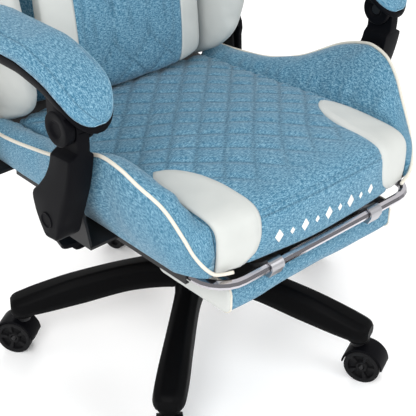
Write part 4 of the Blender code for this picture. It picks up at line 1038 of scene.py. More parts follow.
# %% The line that tray and pad follow
swing = joint["arm_support_swing_right"]["pos_m"]
level = joint["armrest_level_right"]["pos_m"]
LOW_PIVOT = np.array([swing[1], swing[2]])
HIGH_PIVOT = np.array([level[1], level[2]])
REAR_PIVOT = RECLINE[1:] + (HIGH_PIVOT - LOW_PIVOT)
SUPPORT_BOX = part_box("arm_support_left")
PAD_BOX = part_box("arm_pad_left")
ARM_X = (PAD_BOX[0].x + PAD_BOX[1].x) / 2
ARM_HALF = (PAD_BOX[1].x - PAD_BOX[0].x) / 2 - 0.0012
SUPPORT_IN, SUPPORT_OUT = SUPPORT_BOX[0].x + 0.004, SUPPORT_BOX[1].x
ARM_NOSE, ARM_TAIL = HIGH_PIVOT[0] - 0.043, HIGH_PIVOT[0] + 0.219
deck_at = curve_through(
    HIGH_PIVOT[0] + np.array([-0.043, -0.028, -0.012, 0.017, 0.055, 0.085, 0.219]),
    HIGH_PIVOT[1] + np.array([0.008, 0.024, 0.040, 0.054, 0.063, 0.067, 0.067]),
)


def arm_width(y):
    """Half width in plan: a superellipse nose, parallel sides, and a softly rounded tail."""
    nose = np.clip((y - ARM_NOSE) / 0.046, 0, 1)
    tail = np.clip((ARM_TAIL - y) / 0.022, 0, 1)
    return np.maximum((1 - (1 - nose) ** 2.3) ** (1 / 2.3) * (1 - (1 - tail) ** 3) ** (1 / 3), 0.02)


def arm_stations(count):
    """Places along the arm, closer together at its nose and tail, where it turns."""
    t = np.linspace(0, 1, count)
    eased = 0.5 - 0.5 * np.cos(math.pi * t)
    return ARM_NOSE + 0.0006 + (ARM_TAIL - ARM_NOSE - 0.0012) * (0.65 * eased + 0.35 * t)


def make_arm_pad(side, label):
    """Half-round sections on the deck: across is cos(a)^0.8, up is sin(a)^0.48, dented at two seams."""
    ys = arm_stations(120)
    width = arm_width(ys)[:, None] * ARM_HALF
    deck = deck_at(ys)[:, None] + 0.0008
    thick = 0.0235 * (0.50 + 0.50 * np.clip((ys - ARM_NOSE) / 0.105, 0, 1))[:, None]
    thick = thick * np.minimum(1.0, arm_width(ys)[:, None] * 1.4)
    a = np.linspace(0, math.pi, 52)[None, :]
    across = -np.sign(np.cos(a)) * np.abs(np.cos(a)) ** 0.80
    up = np.sin(a) ** 0.48
    x = ARM_X + width * across
    z = deck + thick * up
    y = np.broadcast_to(ys[:, None], x.shape)
    outer_edge = np.abs(width * (1 - across) - 0.0125)
    inner_edge = np.abs(width * (1 + across) - 0.0060)
    dent = 0.0011 * np.exp(-(outer_edge / 0.0016) ** 2) + 0.0009 * np.exp(-(inner_edge / 0.0014) ** 2)
    points = np.stack([x, y, z - dent * (up > 0.5)], -1)
    points[..., 2] += 0.0007 * ripple(points, 0.05, 41 + side) * (up > 0.8)
    # Painted shade: the cloth darkens in the dent along the outer seam.
    crease = np.exp(-(outer_edge / 0.0012) ** 2) * (up > 0.5)
    floor = points[:, ::-1][:, 1:-1].copy()
    crease = np.pad(crease, ((0, 0), (0, floor.shape[1])))
    floor[..., 2] = deck
    grid = np.concatenate([points, floor], 1)
    grid[..., 0] *= side
    made = surface(f"arm_pad_cover_{label}", grid, BLUE, wrap=True, caps=True, crease=crease)
    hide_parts(f"arm_pad_{label}")
    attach(made, f"armrest_{label}")
    rim = []
    for row in range(6, 112, 2):
        rim.append((ARM_X - width[row, 0] * 0.965, ys[row], deck[row, 0] + thick[row, 0] * 0.62))
    rim = np.array(rim) * [side, 1, 1]
    seam = sweep(f"arm_pad_seam_{label}", smooth_line(rim, 110), 0.0007, THREAD_PALE, sides=6)
    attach(seam, f"armrest_{label}")


for side, label in SIDES:
    make_arm_pad(side, label)


# %% Tray, with its cheeks and tail
POLE = 0.0008       # radius of a disc's innermost ring
CHEEK = (0.0245, 0.0030, 0.0026, 0.0120)      # radius, rolled rim, dimple depth, dimple radius


def disc(centre, low, high, radius, edge, dimple=0.0, dimple_radius=0.0):
    """A round boss with rolled rims, lying along X. A dimple sinks the outer face."""
    rim = np.linspace(0, math.pi / 2, 6)
    flat = radius - edge
    profile = [(0.0, low)]
    profile += [(flat + edge * math.sin(t), low + edge - edge * math.cos(t)) for t in rim]
    profile += [(flat + edge * math.cos(t), high - edge + edge * math.sin(t)) for t in rim]
    if dimple:
        profile += [(dimple_radius * 1.12, high), (dimple_radius, high - 0.3 * dimple),
                    (dimple_radius * 0.86, high - 0.85 * dimple), (dimple_radius * 0.6, high - dimple)]
    profile.append((POLE, high - dimple))
    r, x = np.array(profile).T
    r[0] = POLE
    a = np.linspace(0, 2 * math.pi, 56, endpoint=False)
    return np.stack([
        np.broadcast_to(x[:, None], (len(x), len(a))),
        centre[0] + r[:, None] * np.cos(a), centre[1] + r[:, None] * np.sin(a),
    ], -1)


def arm_piece(name, grid, side, finish=None):
    """A closed surface drawn for the left arm and moved to its own side."""
    return surface(name, mirror_x(grid, side), finish or BLACK, wrap=True, caps=True)


def make_arm_tray(side, label):
    """A shallow trough under the pad, two cheeks round the front pivot, and a tail to the rear one."""
    body = f"armrest_{label}"
    ys = arm_stations(110)
    width = (arm_width(ys) * (ARM_HALF - 0.0004))[:, None]
    top = deck_at(ys)[:, None]
    nose = np.clip((ys - ARM_NOSE) / 0.042, 0, 1)[:, None]
    depth = 0.021 * (0.45 + 0.55 * nose)
    right_half = [
        (0.62, -1.0), (0.82, -0.93), (0.94, -0.74), (0.99, -0.45), (1.0, -0.12), (0.985, 0.0), (0.5, 0.0),
    ]
    left_half = [(-a, b) for a, b in right_half[::-1]]
    outline = np.array(left_half[-1:] + [(0.0, -1.0)] + right_half + [(0.0, 0.0)] + left_half[:-1])
    x = ARM_X + width * outline[:, 0]
    z = top + depth * outline[:, 1]
    grid = np.stack([x, np.broadcast_to(ys[:, None], x.shape), z], -1)
    tray = arm_piece(f"arm_tray_shell_{label}", grid, side)
    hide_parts(f"arm_tray_{label}")
    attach(tray, body)
    high = SUPPORT_OUT
    outer = disc(HIGH_PIVOT, high - 0.0116, high + 0.0030, *CHEEK)
    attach(arm_piece(f"arm_cheek_outer_{label}", outer, side), body)
    # The inner cheek is drawn turned over, so that its dimple faces the sitter.
    inner = disc(HIGH_PIVOT, -(SUPPORT_IN + 0.0055), -(SUPPORT_IN - 0.0045), *CHEEK)
    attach(arm_piece(f"arm_cheek_inner_{label}", inner, -side), body)
    neck_y = HIGH_PIVOT[0] + np.array([-0.016, 0.0, 0.018])
    neck_foot = HIGH_PIVOT[1] + 0.008
    neck_top = deck_at(neck_y) - 0.012
    neck_x = (("outer", high - 0.0100, high + 0.0015), ("inner", SUPPORT_IN - 0.0050, SUPPORT_IN + 0.0040))
    for name, x0, x1 in neck_x:
        block = []
        for t in np.linspace(0, 1, 8):
            z = neck_foot + (neck_top - neck_foot) * t
            block.append(np.c_[[x0] * 3 + [x1] * 3, np.r_[neck_y, neck_y[::-1]], np.r_[z, z[::-1]]])
        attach(arm_piece(f"arm_neck_{name}_{label}", block, side), body)
    tail_z = float(deck_at(ARM_TAIL))
    bend = np.array([ARM_TAIL + 0.045, tail_z - 0.03]) * 0.35 + REAR_PIVOT * 0.65
    tail_path = [
        (ARM_TAIL - 0.022, tail_z - 0.012), (ARM_TAIL + 0.008, tail_z - 0.014),
        (ARM_TAIL + 0.030, tail_z - 0.026), bend, REAR_PIVOT,
    ]
    line = smooth_line(tail_path, 40)
    tall = np.linspace(0.0095, 0.0165, 40)[:, None]
    along = np.gradient(line, axis=0)
    along /= np.linalg.norm(along, axis=1, keepdims=True)
    up = np.stack([-along[:, 1], along[:, 0]], -1)
    x_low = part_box("back_hinge_plate_left")[0].x + 0.0165
    x_high = SUPPORT_OUT - 0.0045
    a = np.linspace(0, 2 * math.pi, 20, endpoint=False)
    square = np.sign(np.cos(a)) * np.abs(np.cos(a)) ** 0.35
    rise = np.sign(np.sin(a)) * np.abs(np.sin(a)) ** 0.35
    yz = line[:, None] + up[:, None] * (tall * rise)[..., None]
    xx = np.broadcast_to((x_low + x_high) / 2 + (x_high - x_low) / 2 * square, yz.shape[:2])
    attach(arm_piece(f"arm_tail_{label}", np.concatenate([xx[..., None], yz], -1), side), body)
    boss = disc(REAR_PIVOT, x_low - 0.0004, x_high + 0.0004, 0.020, 0.0030, 0.0018, 0.0100)
    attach(arm_piece(f"arm_rear_boss_{label}", boss, side), body)


for side, label in SIDES:
    make_arm_tray(side, label)


# %% Support
# Both edges run from the foot to the cap, as y and z from the lower pivot.
FRONT_EDGE = [
    (-0.020, -0.0255), (-0.028, -0.018), (-0.033, -0.008), (-0.038, 0.006), (-0.044, 0.020), (-0.053, 0.043),
    (-0.062, 0.068), (-0.069, 0.095), (-0.0735, 0.120), (-0.0755, 0.140), (-0.0745, 0.155),
]
REAR_EDGE = [
    (-0.010, -0.0262), (0.003, -0.021), (0.010, -0.012), (0.017, 0.000), (0.0240, 0.018), (0.0262, 0.034),
    (0.009, 0.0535), (-0.012, 0.080), (-0.0235, 0.104), (-0.0275, 0.130), (-0.0255, 0.155),
]


def make_support(side, label):
    """Rings from the foot to the cap, each spread between the two edges and the two faces."""
    body = f"arm_support_{label}"
    count = 90
    t = np.linspace(0, 1, count)
    front = smooth_line(FRONT_EDGE, 200)
    rear = smooth_line(REAR_EDGE, 200)
    pick = np.interp(t, np.linspace(0, 1, 200), np.arange(200))
    front = np.stack([np.interp(pick, np.arange(200), front[:, k]) for k in (0, 1)], -1) + LOW_PIVOT
    rear = np.stack([np.interp(pick, np.arange(200), rear[:, k]) for k in (0, 1)], -1) + LOW_PIVOT
    near = np.clip((t - 0.805) / 0.05, 0, 1)
    near = near * near * (3 - 2 * near)
    shut = np.clip(t / 0.05, 0, 1) ** 0.5
    thin_out = SUPPORT_OUT - 0.0128
    inner = SUPPORT_IN + 0.0070 * near + 0.004 * (1 - shut)
    outer = SUPPORT_OUT * (1 - near) + thin_out * near - 0.006 * (1 - shut)
    section = np.array([
        # share from front to rear, share from inner to outer face
        (0.05, 0.00), (0.50, 0.00), (0.95, 0.00), (0.99, 0.015), (1.0, 0.06), (1.0, 0.50), (1.0, 0.86),
        (0.99, 0.93), (0.965, 0.975), (0.92, 0.995), (0.50, 0.985), (0.16, 1.0), (0.10, 0.995), (0.055, 0.97),
        (0.025, 0.93), (0.0, 0.84), (0.0, 0.50), (0.0, 0.08), (0.012, 0.02),
    ])
    yz = front[:, None] * (1 - section[None, :, :1]) + rear[:, None] * section[None, :, :1]
    x = inner[:, None] + (outer - inner)[:, None] * section[None, :, 1]
    made = arm_piece(f"arm_support_moulding_{label}", np.concatenate([x[..., None], yz], -1), side)
    made.data.set_sharp_from_angle(angle=math.radians(28))
    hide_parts(f"arm_support_{label}")
    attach(made, body)
    eye = disc(HIGH_PIVOT, SUPPORT_IN + 0.0070, SUPPORT_OUT - 0.0130, 0.0240, 0.0015)
    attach(arm_piece(f"arm_support_eye_{label}", eye, side), body)
    pin = disc(HIGH_PIVOT, SUPPORT_IN - 0.0030, SUPPORT_OUT - 0.0002, 0.0078, 0.0010)
    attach(arm_piece(f"arm_support_pin_{label}", pin, side, STEEL), body)
    # The foot's cap: a low round cover over the lower pivot screw.
    screw = LOW_PIVOT + [-0.006, 0.004]
    cover = disc(screw, SUPPORT_OUT - 0.0135, SUPPORT_OUT + 0.0010, 0.0125, 0.0012, 0.0022, 0.0100)
    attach(arm_piece(f"arm_support_cap_{label}", cover, side), body)


for side, label in SIDES:
    make_support(side, label)
print("arms finished")

# %% [markdown]
# ## Backrest
# The back is drawn in its own leaning frame: x across, v forward or back, w up from the recline axis.
# A panel of quilted cloth runs up the middle, a deep leatherette wing stands at each side, and a
# moulded shell closes the rear. One outline curve gives the widths of all three.

# %% Outline of the back
BACK_HEIGHT, BACK_HALF = 0.800, 0.262
UP = BACK_HEIGHT * np.array([0.0, 0.10, 0.25, 0.42, 0.54, 0.68, 0.78, 0.90, 1.0])
WING_SHARE = np.array([0.84, 0.95, 1.00, 0.91, 0.89, 0.97, 0.93, 0.66, 0.52])
CENTRE_SHARE = np.array([0.62, 0.63, 0.66, 0.63, 0.60, 0.60, 0.58, 0.47, 0.38])
wing_half = curve_through(UP, BACK_HALF * WING_SHARE)
centre_half = curve_through(UP, BACK_HALF * CENTRE_SHARE)
wing_depth = curve_through(
    [-0.030, -0.014, -0.002, 0.03, 0.08, 0.15, 0.24, 0.34, 0.43, 0.52, 0.60, 0.67, 0.71],
    [0.040, 0.066, 0.083, 0.112, 0.124, 0.127, 0.118, 0.092, 0.078, 0.082, 0.078, 0.052, 0.030],
)


def leaned(points):
    """From the back's own frame to the chair's: turned back by LEAN about X, then moved."""
    x, v, w = np.moveaxis(np.asarray(points, float), -1, 0)
    y = v * math.cos(LEAN) + w * math.sin(LEAN)
    z = w * math.cos(LEAN) - v * math.sin(LEAN)
    return np.stack([x, y, z], -1) + RECLINE


BACK_QUILT = 0.044
BACK_SEAMS = (0.212, 0.563)     # heights of the two stitched lines across the panel
BACK_FOOT, BACK_TOP = -0.018, 0.785


def make_back_panel():
    """The panel crowned by 1 - s^2 across, s from -1 to 1, with the quilting pushed out between seams."""
    ws = np.r_[BACK_FOOT, -0.0165, np.linspace(-0.013, 0.780, 200), 0.7835, BACK_TOP]
    end = np.minimum(np.clip((ws - BACK_FOOT) / 0.016, 0, 1), np.clip((BACK_TOP - ws) / 0.016, 0, 1))
    ease = (1 - np.sqrt(1 - (1 - end) ** 2))[:, None]
    s = np.sin(np.linspace(-1, 1, 91) * math.pi / 2 * 0.94) / math.sin(math.pi / 2 * 0.94)
    half = centre_half(np.maximum(ws, 0))[:, None] - 0.006 * ease
    x, w = half * s, np.broadcast_to(ws[:, None], (len(ws), len(s)))
    from_seam = seam_distance(x, w, BACK_QUILT)
    quilted = np.clip((w - 0.215) / 0.006, 0, 1) * np.clip((0.56 - w) / 0.006, 0, 1)
    puff = 0.0026 * groove(from_seam, 0.0065) * quilted + 0.0020 * (1 - quilted)
    for line in BACK_SEAMS:
        puff -= 0.0022 * np.exp(-((w - line) / 0.0022) ** 2)
    v = -0.030 - 0.012 * (1 - s**2) + 0.014 * np.abs(s) ** 14 + 0.018 * ease
    waves = 0.0010 * ripple(np.stack([x, v, w], -1), 0.12, 5)
    v = v - puff * (1 - s**8) * (1 - ease) - waves * (1 - s**8)
    # Painted shade: the cloth darkens along the quilting seams, the two stitched lines and the panel's side
    # edges.
    crease = (1 - groove(from_seam, 0.0022)) * quilted
    for line in BACK_SEAMS:
        crease = np.maximum(crease, np.exp(-((w - line) / 0.0022) ** 2))
    crease = np.pad(np.maximum(crease, np.abs(s) ** 60), ((0, 0), (0, 7)))
    front = np.stack([x, v, w], -1)
    rear_x = half * np.array([0.985, 0.9, 0.45, 0.0, -0.45, -0.9, -0.985])
    rear_v = np.array([0.010, 0.0215, 0.0215, 0.0215, 0.0215, 0.0215, 0.010]) * (1 - ease)
    rear_w = np.broadcast_to(ws[:, None], rear_x.shape)
    rear = np.stack([rear_x, np.broadcast_to(rear_v, rear_x.shape), rear_w], -1)
    grid = leaned(np.concatenate([front, rear], 1))
    made = surface("back_panel", grid, BLUE, wrap=True, caps=True, crease=crease)
    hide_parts("back_cushion")
    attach(made, "backrest")


make_back_panel()


# %% Wings
WING_FOOT, WING_TOP = -0.030, 0.710


def make_wing(side, label):
    """One cross-section, scaled by the wing's width and depth at each height and rounded off at the ends."""
    ws = np.r_[WING_FOOT, -0.0290, -0.0270, np.linspace(-0.024, 0.700, 122), 0.705, 0.7085, WING_TOP]
    base = np.maximum(ws, 0)
    end = np.minimum(np.clip((ws - WING_FOOT) / 0.030, 0, 1), np.clip((WING_TOP - ws) / 0.045, 0, 1))
    round_off = np.sqrt(1 - (1 - end) ** 2) * 0.72 + 0.28
    inner, outer, depth = centre_half(base) + 0.0025, wing_half(base), wing_depth(ws)
    control = np.array([
        # share of the width from the inner edge; share of the depth, or metres where nearly 0
        (0.0, 0.010), (0.0, -0.020), (0.06, -0.26), (0.25, -0.64), (0.40, -0.87), (0.55, -0.985),
        (0.68, -0.985), (0.82, -0.88), (0.93, -0.70), (0.985, -0.45), (1.0, -0.15), (1.0, 0.020),
    ])
    rings = []
    for w, a, b, d, r in zip(ws, inner, outer, depth, round_off):
        width = (b - a) * (0.75 + 0.25 * r)
        v = np.where(control[:, 1] < -0.05, control[:, 1] * d * r, control[:, 1])
        rings.append(smooth_line(np.stack([a + control[:, 0] * width, v, np.full(len(v), w)], -1), 52))
    grid = np.array(rings)
    soft = np.clip(-grid[..., 1] / 0.03, 0, 1)
    puff = 0.0011 * ripple(grid, 0.075, 61 + side) + 0.0008 * ripple(grid, 0.032, 63)
    grid[..., 1] -= puff * soft
    world = mirror_x(leaned(grid), side)
    made = surface(f"back_wing_cover_{label}", world, WHITE, wrap=True, caps=True)
    points = np.vstack([grid.reshape(-1, 3), [[0, 0, 0]] * 2])
    hold = np.clip(1 - (-points[:, 1] - 0.022) / 0.02, 0, 1)
    hold = np.maximum(hold, np.clip((0.02 - points[:, 2]) / 0.03, 0, 1))
    hold[-2:] = 1
    inflate(made, hold, pressure=2.0, cap=0.005, frames=14)
    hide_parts(f"back_wing_{label}")
    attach(made, "backrest")
    seam_w = np.linspace(0.012, 0.695, 140)
    a = centre_half(seam_w) + 0.0006
    line = leaned(np.stack([a, np.full(len(a), -0.0235), seam_w], -1))
    pipe = sweep(f"back_piping_{label}", mirror_x(line, side), 0.0022, CREAM, sides=10)
    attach(pipe, "backrest")


for side, label in SIDES:
    make_wing(side, label)


# %% Rear shell
SHELL_TOP = 0.712


def make_shell():
    """A thin plate behind the back, brought forward at its sides by |s|^5, with a soft pressed line."""
    ws = np.r_[BACK_FOOT, np.linspace(-0.0165, 0.7105, 90), SHELL_TOP]
    end = np.clip(np.minimum(ws - BACK_FOOT, SHELL_TOP - ws) / 0.010, 0, 1)
    s = np.linspace(-1, 1, 81)
    half = (wing_half(np.maximum(ws, 0)) - 0.003)[:, None]
    outer = 0.0590 - 0.030 * np.abs(s) ** 5 - 0.0015 * (1 - end[:, None])
    rise = np.clip((ws - 0.10) / 0.05, 0, 1) * np.clip((0.62 - ws) / 0.05, 0, 1)
    inset = np.abs(np.abs(s) - (0.52 + 0.10 * np.cos(ws * 9))[:, None])
    outer = outer - 0.0016 * np.exp(-(inset / 0.018) ** 2) * rise[:, None]
    inner = 0.0562 - 0.030 * np.abs(s) ** 5 + 0.0003
    w = np.broadcast_to(ws[:, None], outer.shape)
    front = np.stack([half * s, outer, w], -1)
    rear = np.stack([half * s, np.broadcast_to(inner - 0.0004, w.shape), w], -1)[:, ::-1]
    grid = leaned(np.concatenate([front, rear], 1))
    made = surface("back_shell_moulding", grid, SHELL, wrap=True, caps=True)
    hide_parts("back_shell")
    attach(made, "backrest")


make_shell()


# %% [markdown]
# ## Pillows
# Each pillow is one rounded block, blown up a little as cloth. Its cover is then cut into a middle of
# blue cloth and two ends of leatherette, so the seams lie exactly on the inflated shape.

# %% Pillows
PILLOW_QUILT = 0.050
QUILTED_SHARE = 0.85        # how much of the blue middle is quilted, up to a stitched line


def make_pillow(name, node, centre, half, split):
    """Sections whose thickness and height follow sqrt(1 - |s|^3.5), s from -1 to 1 across the chair."""
    rows, cols = 96, 72
    t = np.linspace(-1, 1, rows)
    s = np.sin(t * math.pi / 2 * 0.97) / math.sin(math.pi / 2 * 0.97)
    swell = np.sqrt(np.maximum(1 - np.abs(s) ** 3.5, 0.0))[:, None]
    a = np.linspace(0, 2 * math.pi, cols, endpoint=False)
    c, d = np.cos(a), np.sin(a)
    v = half[1] * np.sign(c) * np.abs(c) ** 0.75 * (0.30 + 0.66 * swell)
    w = half[2] * np.sign(d) * np.abs(d) ** 0.50 * (0.82 + 0.17 * swell)
    x = np.broadcast_to((s * half[0])[:, None], v.shape)
    block = np.stack([x, v, w], -1)
    seam = np.abs(c) < 0.16
    block[:, seam, 1] *= 0.6
    made = surface("whole_" + name, leaned(block + centre), BLUE, wrap=True, caps=True)
    points = np.vstack([block.reshape(-1, 3), [[-half[0], 0, 0], [half[0], 0, 0]]])
    hold = np.clip((points[:, 1] - 0.004) / 0.008, 0, 1) * 0.9
    hold = np.maximum(hold, np.clip((np.abs(points[:, 0]) - half[0] + 0.008) / 0.006, 0, 1))
    inflate(made, hold, pressure=2.5, cap=0.004, frames=14, stiff=8.0)
    co = np.zeros(len(made.data.vertices) * 3)
    made.data.vertices.foreach_get("co", co)
    grid = co.reshape(-1, 3)[:rows * cols].reshape(rows, cols, 3)
    bpy.data.objects.remove(made)
    across, rise = block[..., 0], block[..., 2]
    from_seam = seam_distance(across, rise, PILLOW_QUILT)
    from_line = np.abs(across) - QUILTED_SHARE * split
    facing = c < 0.2
    inside = np.clip(-from_line / 0.004, 0, 1) * facing
    # Painted shade: the cloth darkens along the quilting seams and the stitched line on the front.
    crease = (1 - groove(from_seam, 0.0022)) * inside
    crease = np.maximum(crease, np.exp(-(from_line / 0.0020) ** 2) * facing)
    sunk = 0.0022 * (1 - groove(from_seam, 0.0060)) * inside
    sunk += 0.0016 * np.exp(-(from_line / 0.0030) ** 2) * facing
    inward = leaned(block - [0, 1, 0]) - leaned(block)
    grid = grid - inward * sunk[..., None]
    cut_low, cut_high = (int(at) for at in np.searchsorted(s * half[0], [-split, split]))
    cuts = (
        ("middle", cut_low, cut_high, BLUE), ("end_right", 0, cut_low, WHITE),
        ("end_left", cut_high, rows - 1, WHITE),
    )
    for piece_name, low, high, finish in cuts:
        cut = grid[low:high + 1].copy()
        middle = cut.mean(1, keepdims=True)
        for row, seam_row in ((0, piece_name != "end_right"), (-1, piece_name != "end_left")):
            if seam_row:
                cut[row] = middle[row] + (cut[row] - middle[row]) * 0.972
        sewn_shade = crease[low:high + 1]
        part = surface(f"{name}_{piece_name}", cut, finish, wrap=True, caps=True, crease=sewn_shade)
        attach(part, "backrest")
    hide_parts(node)


LUMBAR_CENTRE, LUMBAR_HALF = np.array([0, -0.070, 0.098]), (0.154, 0.0255, 0.111)
NECK_CENTRE, NECK_HALF = np.array([0, -0.074, 0.684]), (0.117, 0.0275, 0.064)
make_pillow("lumbar_cushion", "lumbar_pillow", LUMBAR_CENTRE, LUMBAR_HALF, 0.104)
make_pillow("neck_cushion", "head_pillow", NECK_CENTRE, NECK_HALF, 0.080)
print("back finished")

# %% [markdown]
# ## Star base
# Five legs arch down from the hub. Near the hub each leg flares until it meets its neighbours, which
# makes the wide fillets between them. The section is a bar with chamfered upper edges; every corner
# is rolled with a small curve so that light catches it.

# %% Base
def roll(outline, radius, steps=4):
    """Each corner of a closed outline replaced by a short curve that starts radius away from it."""
    outline = np.asarray(outline, float)
    before, after = np.roll(outline, 1, 0), np.roll(outline, -1, 0)
    out = []
    for a, corner, b in zip(before, outline, after):
        near = min(radius, 0.4 * np.linalg.norm(a - corner), 0.4 * np.linalg.norm(b - corner))
        start = corner + (a - corner) / np.linalg.norm(a - corner) * near
        end = corner + (b - corner) / np.linalg.norm(b - corner) * near
        for t in np.linspace(0, 1, steps):
            out.append(start * (1 - t) ** 2 + corner * 2 * t * (1 - t) + end * t * t)
    return np.array(out)


def turned(centre, profile, count=64):
    """A closed ring of (radius, height) points spun about the vertical through centre."""
    r, z = np.array(profile).T
    a = np.linspace(0, 2 * math.pi, count + 1)[:-1]
    return np.stack([
        centre[0] + r[None, :] * np.cos(a)[:, None], centre[1] + r[None, :] * np.sin(a)[:, None],
        np.broadcast_to(z[None, :], (count, len(r))),
    ], -1)


def spun(name, centre, profile, finish, count=64):
    """The spun ring as a closed body: the grid wraps both ways, so its last row repeats its first."""
    grid = turned(centre, profile, count)
    grid = np.concatenate([grid, grid[:1]])
    made = surface(name, grid, finish, wrap=True)
    face_outwards(made.data, merge=True)
    made.data.set_sharp_from_angle(angle=math.radians(40))
    return made


LEG_Z, LEG_TALL, LEG_RISE, LEG_HALF = 0.078, 0.034, 0.030, 0.025
leg_r = [0.030, 0.102, 0.199, 0.269, 0.292, 0.306, 0.312]
leg_wide = curve_through(leg_r, [0.80, 0.84, 0.96, 1.06, 1.04, 0.88, 0.60])
deep = LEG_TALL + LEG_RISE
leg_top = curve_through(leg_r, [deep + 0.015, deep + 0.011, deep - 0.004, deep - 0.023, 0.033, 0.028, 0.022])
leg_low = curve_through(
    leg_r, [LEG_RISE, 0.92 * LEG_RISE, 0.40 * LEG_RISE, 0.08 * LEG_RISE, 0.0, 0.001, 0.004]
)


def make_leg(index, angle):
    """Rolled sections along r from the hub, flared near it by exp(-(r - 0.030) / 0.030)."""
    out = np.array([math.cos(angle), math.sin(angle)])
    across = np.array([-out[1], out[0]])
    rings = []
    places = np.r_[np.linspace(0.031, 0.100, 26), np.linspace(0.104, 0.300, 40), 0.304, 0.3075, 0.310, 0.3115]
    for r in places:
        half = LEG_HALF * leg_wide(r) + 0.0150 * math.exp(-((r - 0.030) / 0.030))
        limit = max(r * math.tan(math.radians(36)) * 1.03, 0.0)
        half = min(half, limit)
        low, high = LEG_Z + leg_low(r), LEG_Z + leg_top(r)
        tall = high - low
        outline = [
            (-0.86 * half, low), (0.86 * half, low), (half, low + 0.30 * tall),
            (0.88 * half, low + 0.76 * tall), (0.46 * half, high), (-0.46 * half, high),
            (-0.88 * half, low + 0.76 * tall), (-half, low + 0.30 * tall),
        ]
        s, z = roll(outline, 0.0035, 4).T
        xy = out * r + across * s[:, None]
        rings.append(np.c_[xy[:, 0], xy[:, 1] + COLUMN_Y, z])
    leg = surface(f"base_leg_{index}", np.array(rings), BASE_BLACK, wrap=True, caps=True)
    leg.data.set_sharp_from_angle(angle=math.radians(32))
    foot = joint[f"castor_swivel_{index}"]["pos_m"]
    boss = [
        (0.0070, LEG_Z - 0.0062), (0.0175, LEG_Z - 0.0062), (0.0190, LEG_Z - 0.0045),
        (0.0190, LEG_Z + 0.012), (0.0165, LEG_Z + 0.014), (0.0070, LEG_Z + 0.014),
    ]
    socket = spun(f"base_socket_{index}", foot, boss, BASE_BLACK, 40)
    return [leg, socket]


HUB_Z = LEG_Z + 0.7 * LEG_RISE
HUB_TOP = HUB_Z + 0.072
FIRST_LEG = math.radians(4.8)       # the leg nearest to the chair's left


def make_base():
    """The hub is a profile spun round the column, and the legs are five turns of a fifth of a circle."""
    bore = 0.0255
    profile = [
        (bore, HUB_Z), (0.0345, HUB_Z), (0.0370, HUB_Z + 0.003), (0.0385, HUB_Z + 0.030),
        (0.0400, HUB_Z + 0.046), (0.0380, HUB_Z + 0.053), (0.0366, HUB_TOP - 0.0100),
        (0.0362, HUB_TOP - 0.0030), (0.0350, HUB_TOP - 0.0008), (0.0330, HUB_TOP),
        (bore + 0.0010, HUB_TOP), (bore, HUB_TOP - 0.0010),
    ]
    hub = spun("base_hub", (0, COLUMN_Y), profile, BASE_BLACK, 96)
    made = [hub]
    for i in range(5):
        made += make_leg(i + 1, FIRST_LEG + math.radians(72 * i))
    for part in made:
        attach(part, "base")
    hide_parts("star_base")


make_base()

# %% [markdown]
# ## Castors
# Each wheel is a grid of radius against angle: the rim and hub stand proud, and five spokes are left
# between pockets pressed into the face. A hood with rolled edges covers the pair.

# %% Castors
WHEEL_R = joint["wheel_roll_1_a"]["pos_m"][2]


WHEEL_PROFILE = np.array([
    # radius, share of the wheel's width from the inner face to the outer one
    (0.0050, 0.30), (0.0052, 0.90), (0.0075, 0.97), (0.0085, 0.96), (0.0100, 0.80), (0.0112, 0.78),
    (0.0125, 0.78), (0.0150, 0.78), (0.0180, 0.78), (0.0205, 0.78), (0.0218, 0.80), (0.0228, 0.94),
    (0.0240, 0.99), (0.0262, 1.0), (0.0278, 1.0), (0.0290, 0.985), (0.0297, 0.95), (WHEEL_R, 0.86),
    (WHEEL_R, 0.14), (0.0297, 0.05), (0.0285, 0.01), (0.0250, 0.0), (0.0050, 0.0),
])


def around_axle(centre, axle, forward, at, radius, angle):
    """A ring square to the axle: forward times r cos a plus up times r sin a, moved along the axle."""
    up = np.array([0, 0, 1])
    across = forward * (radius * np.cos(angle))[:, None] + up * (radius * np.sin(angle))[:, None]
    return centre + axle * at + across


def wheel_grid(centre, axle, near, far):
    """Face, tread and back of one wheel, with five spokes left where a smoothed wave of the angle is 1."""
    up = np.array([0, 0, 1.0])
    forward = np.cross(up, axle)
    sign = 1 if far > near else -1
    width = abs(far - near)
    r, x = WHEEL_PROFILE.T
    a = np.linspace(0, 2 * math.pi, 80, endpoint=False)
    spoke = np.clip((np.abs((a / (2 * math.pi) * 5) % 1 - 0.5) - 0.30) / 0.06, 0, 1)
    spoke = spoke * spoke * (3 - 2 * spoke)
    pocket = ((r > 0.0108) & (r < 0.0222) & (np.arange(len(r)) < 12))[:, None]
    depth = np.where(pocket, x[:, None] - 0.26 * (1 - spoke)[None, :] + 0.10 * spoke[None, :], x[:, None])
    along = near + sign * width * depth
    return (
        centre + axle * along[..., None] + forward * (r[:, None] * np.cos(a))[..., None]
        + up * (r[:, None] * np.sin(a))[..., None]
    )


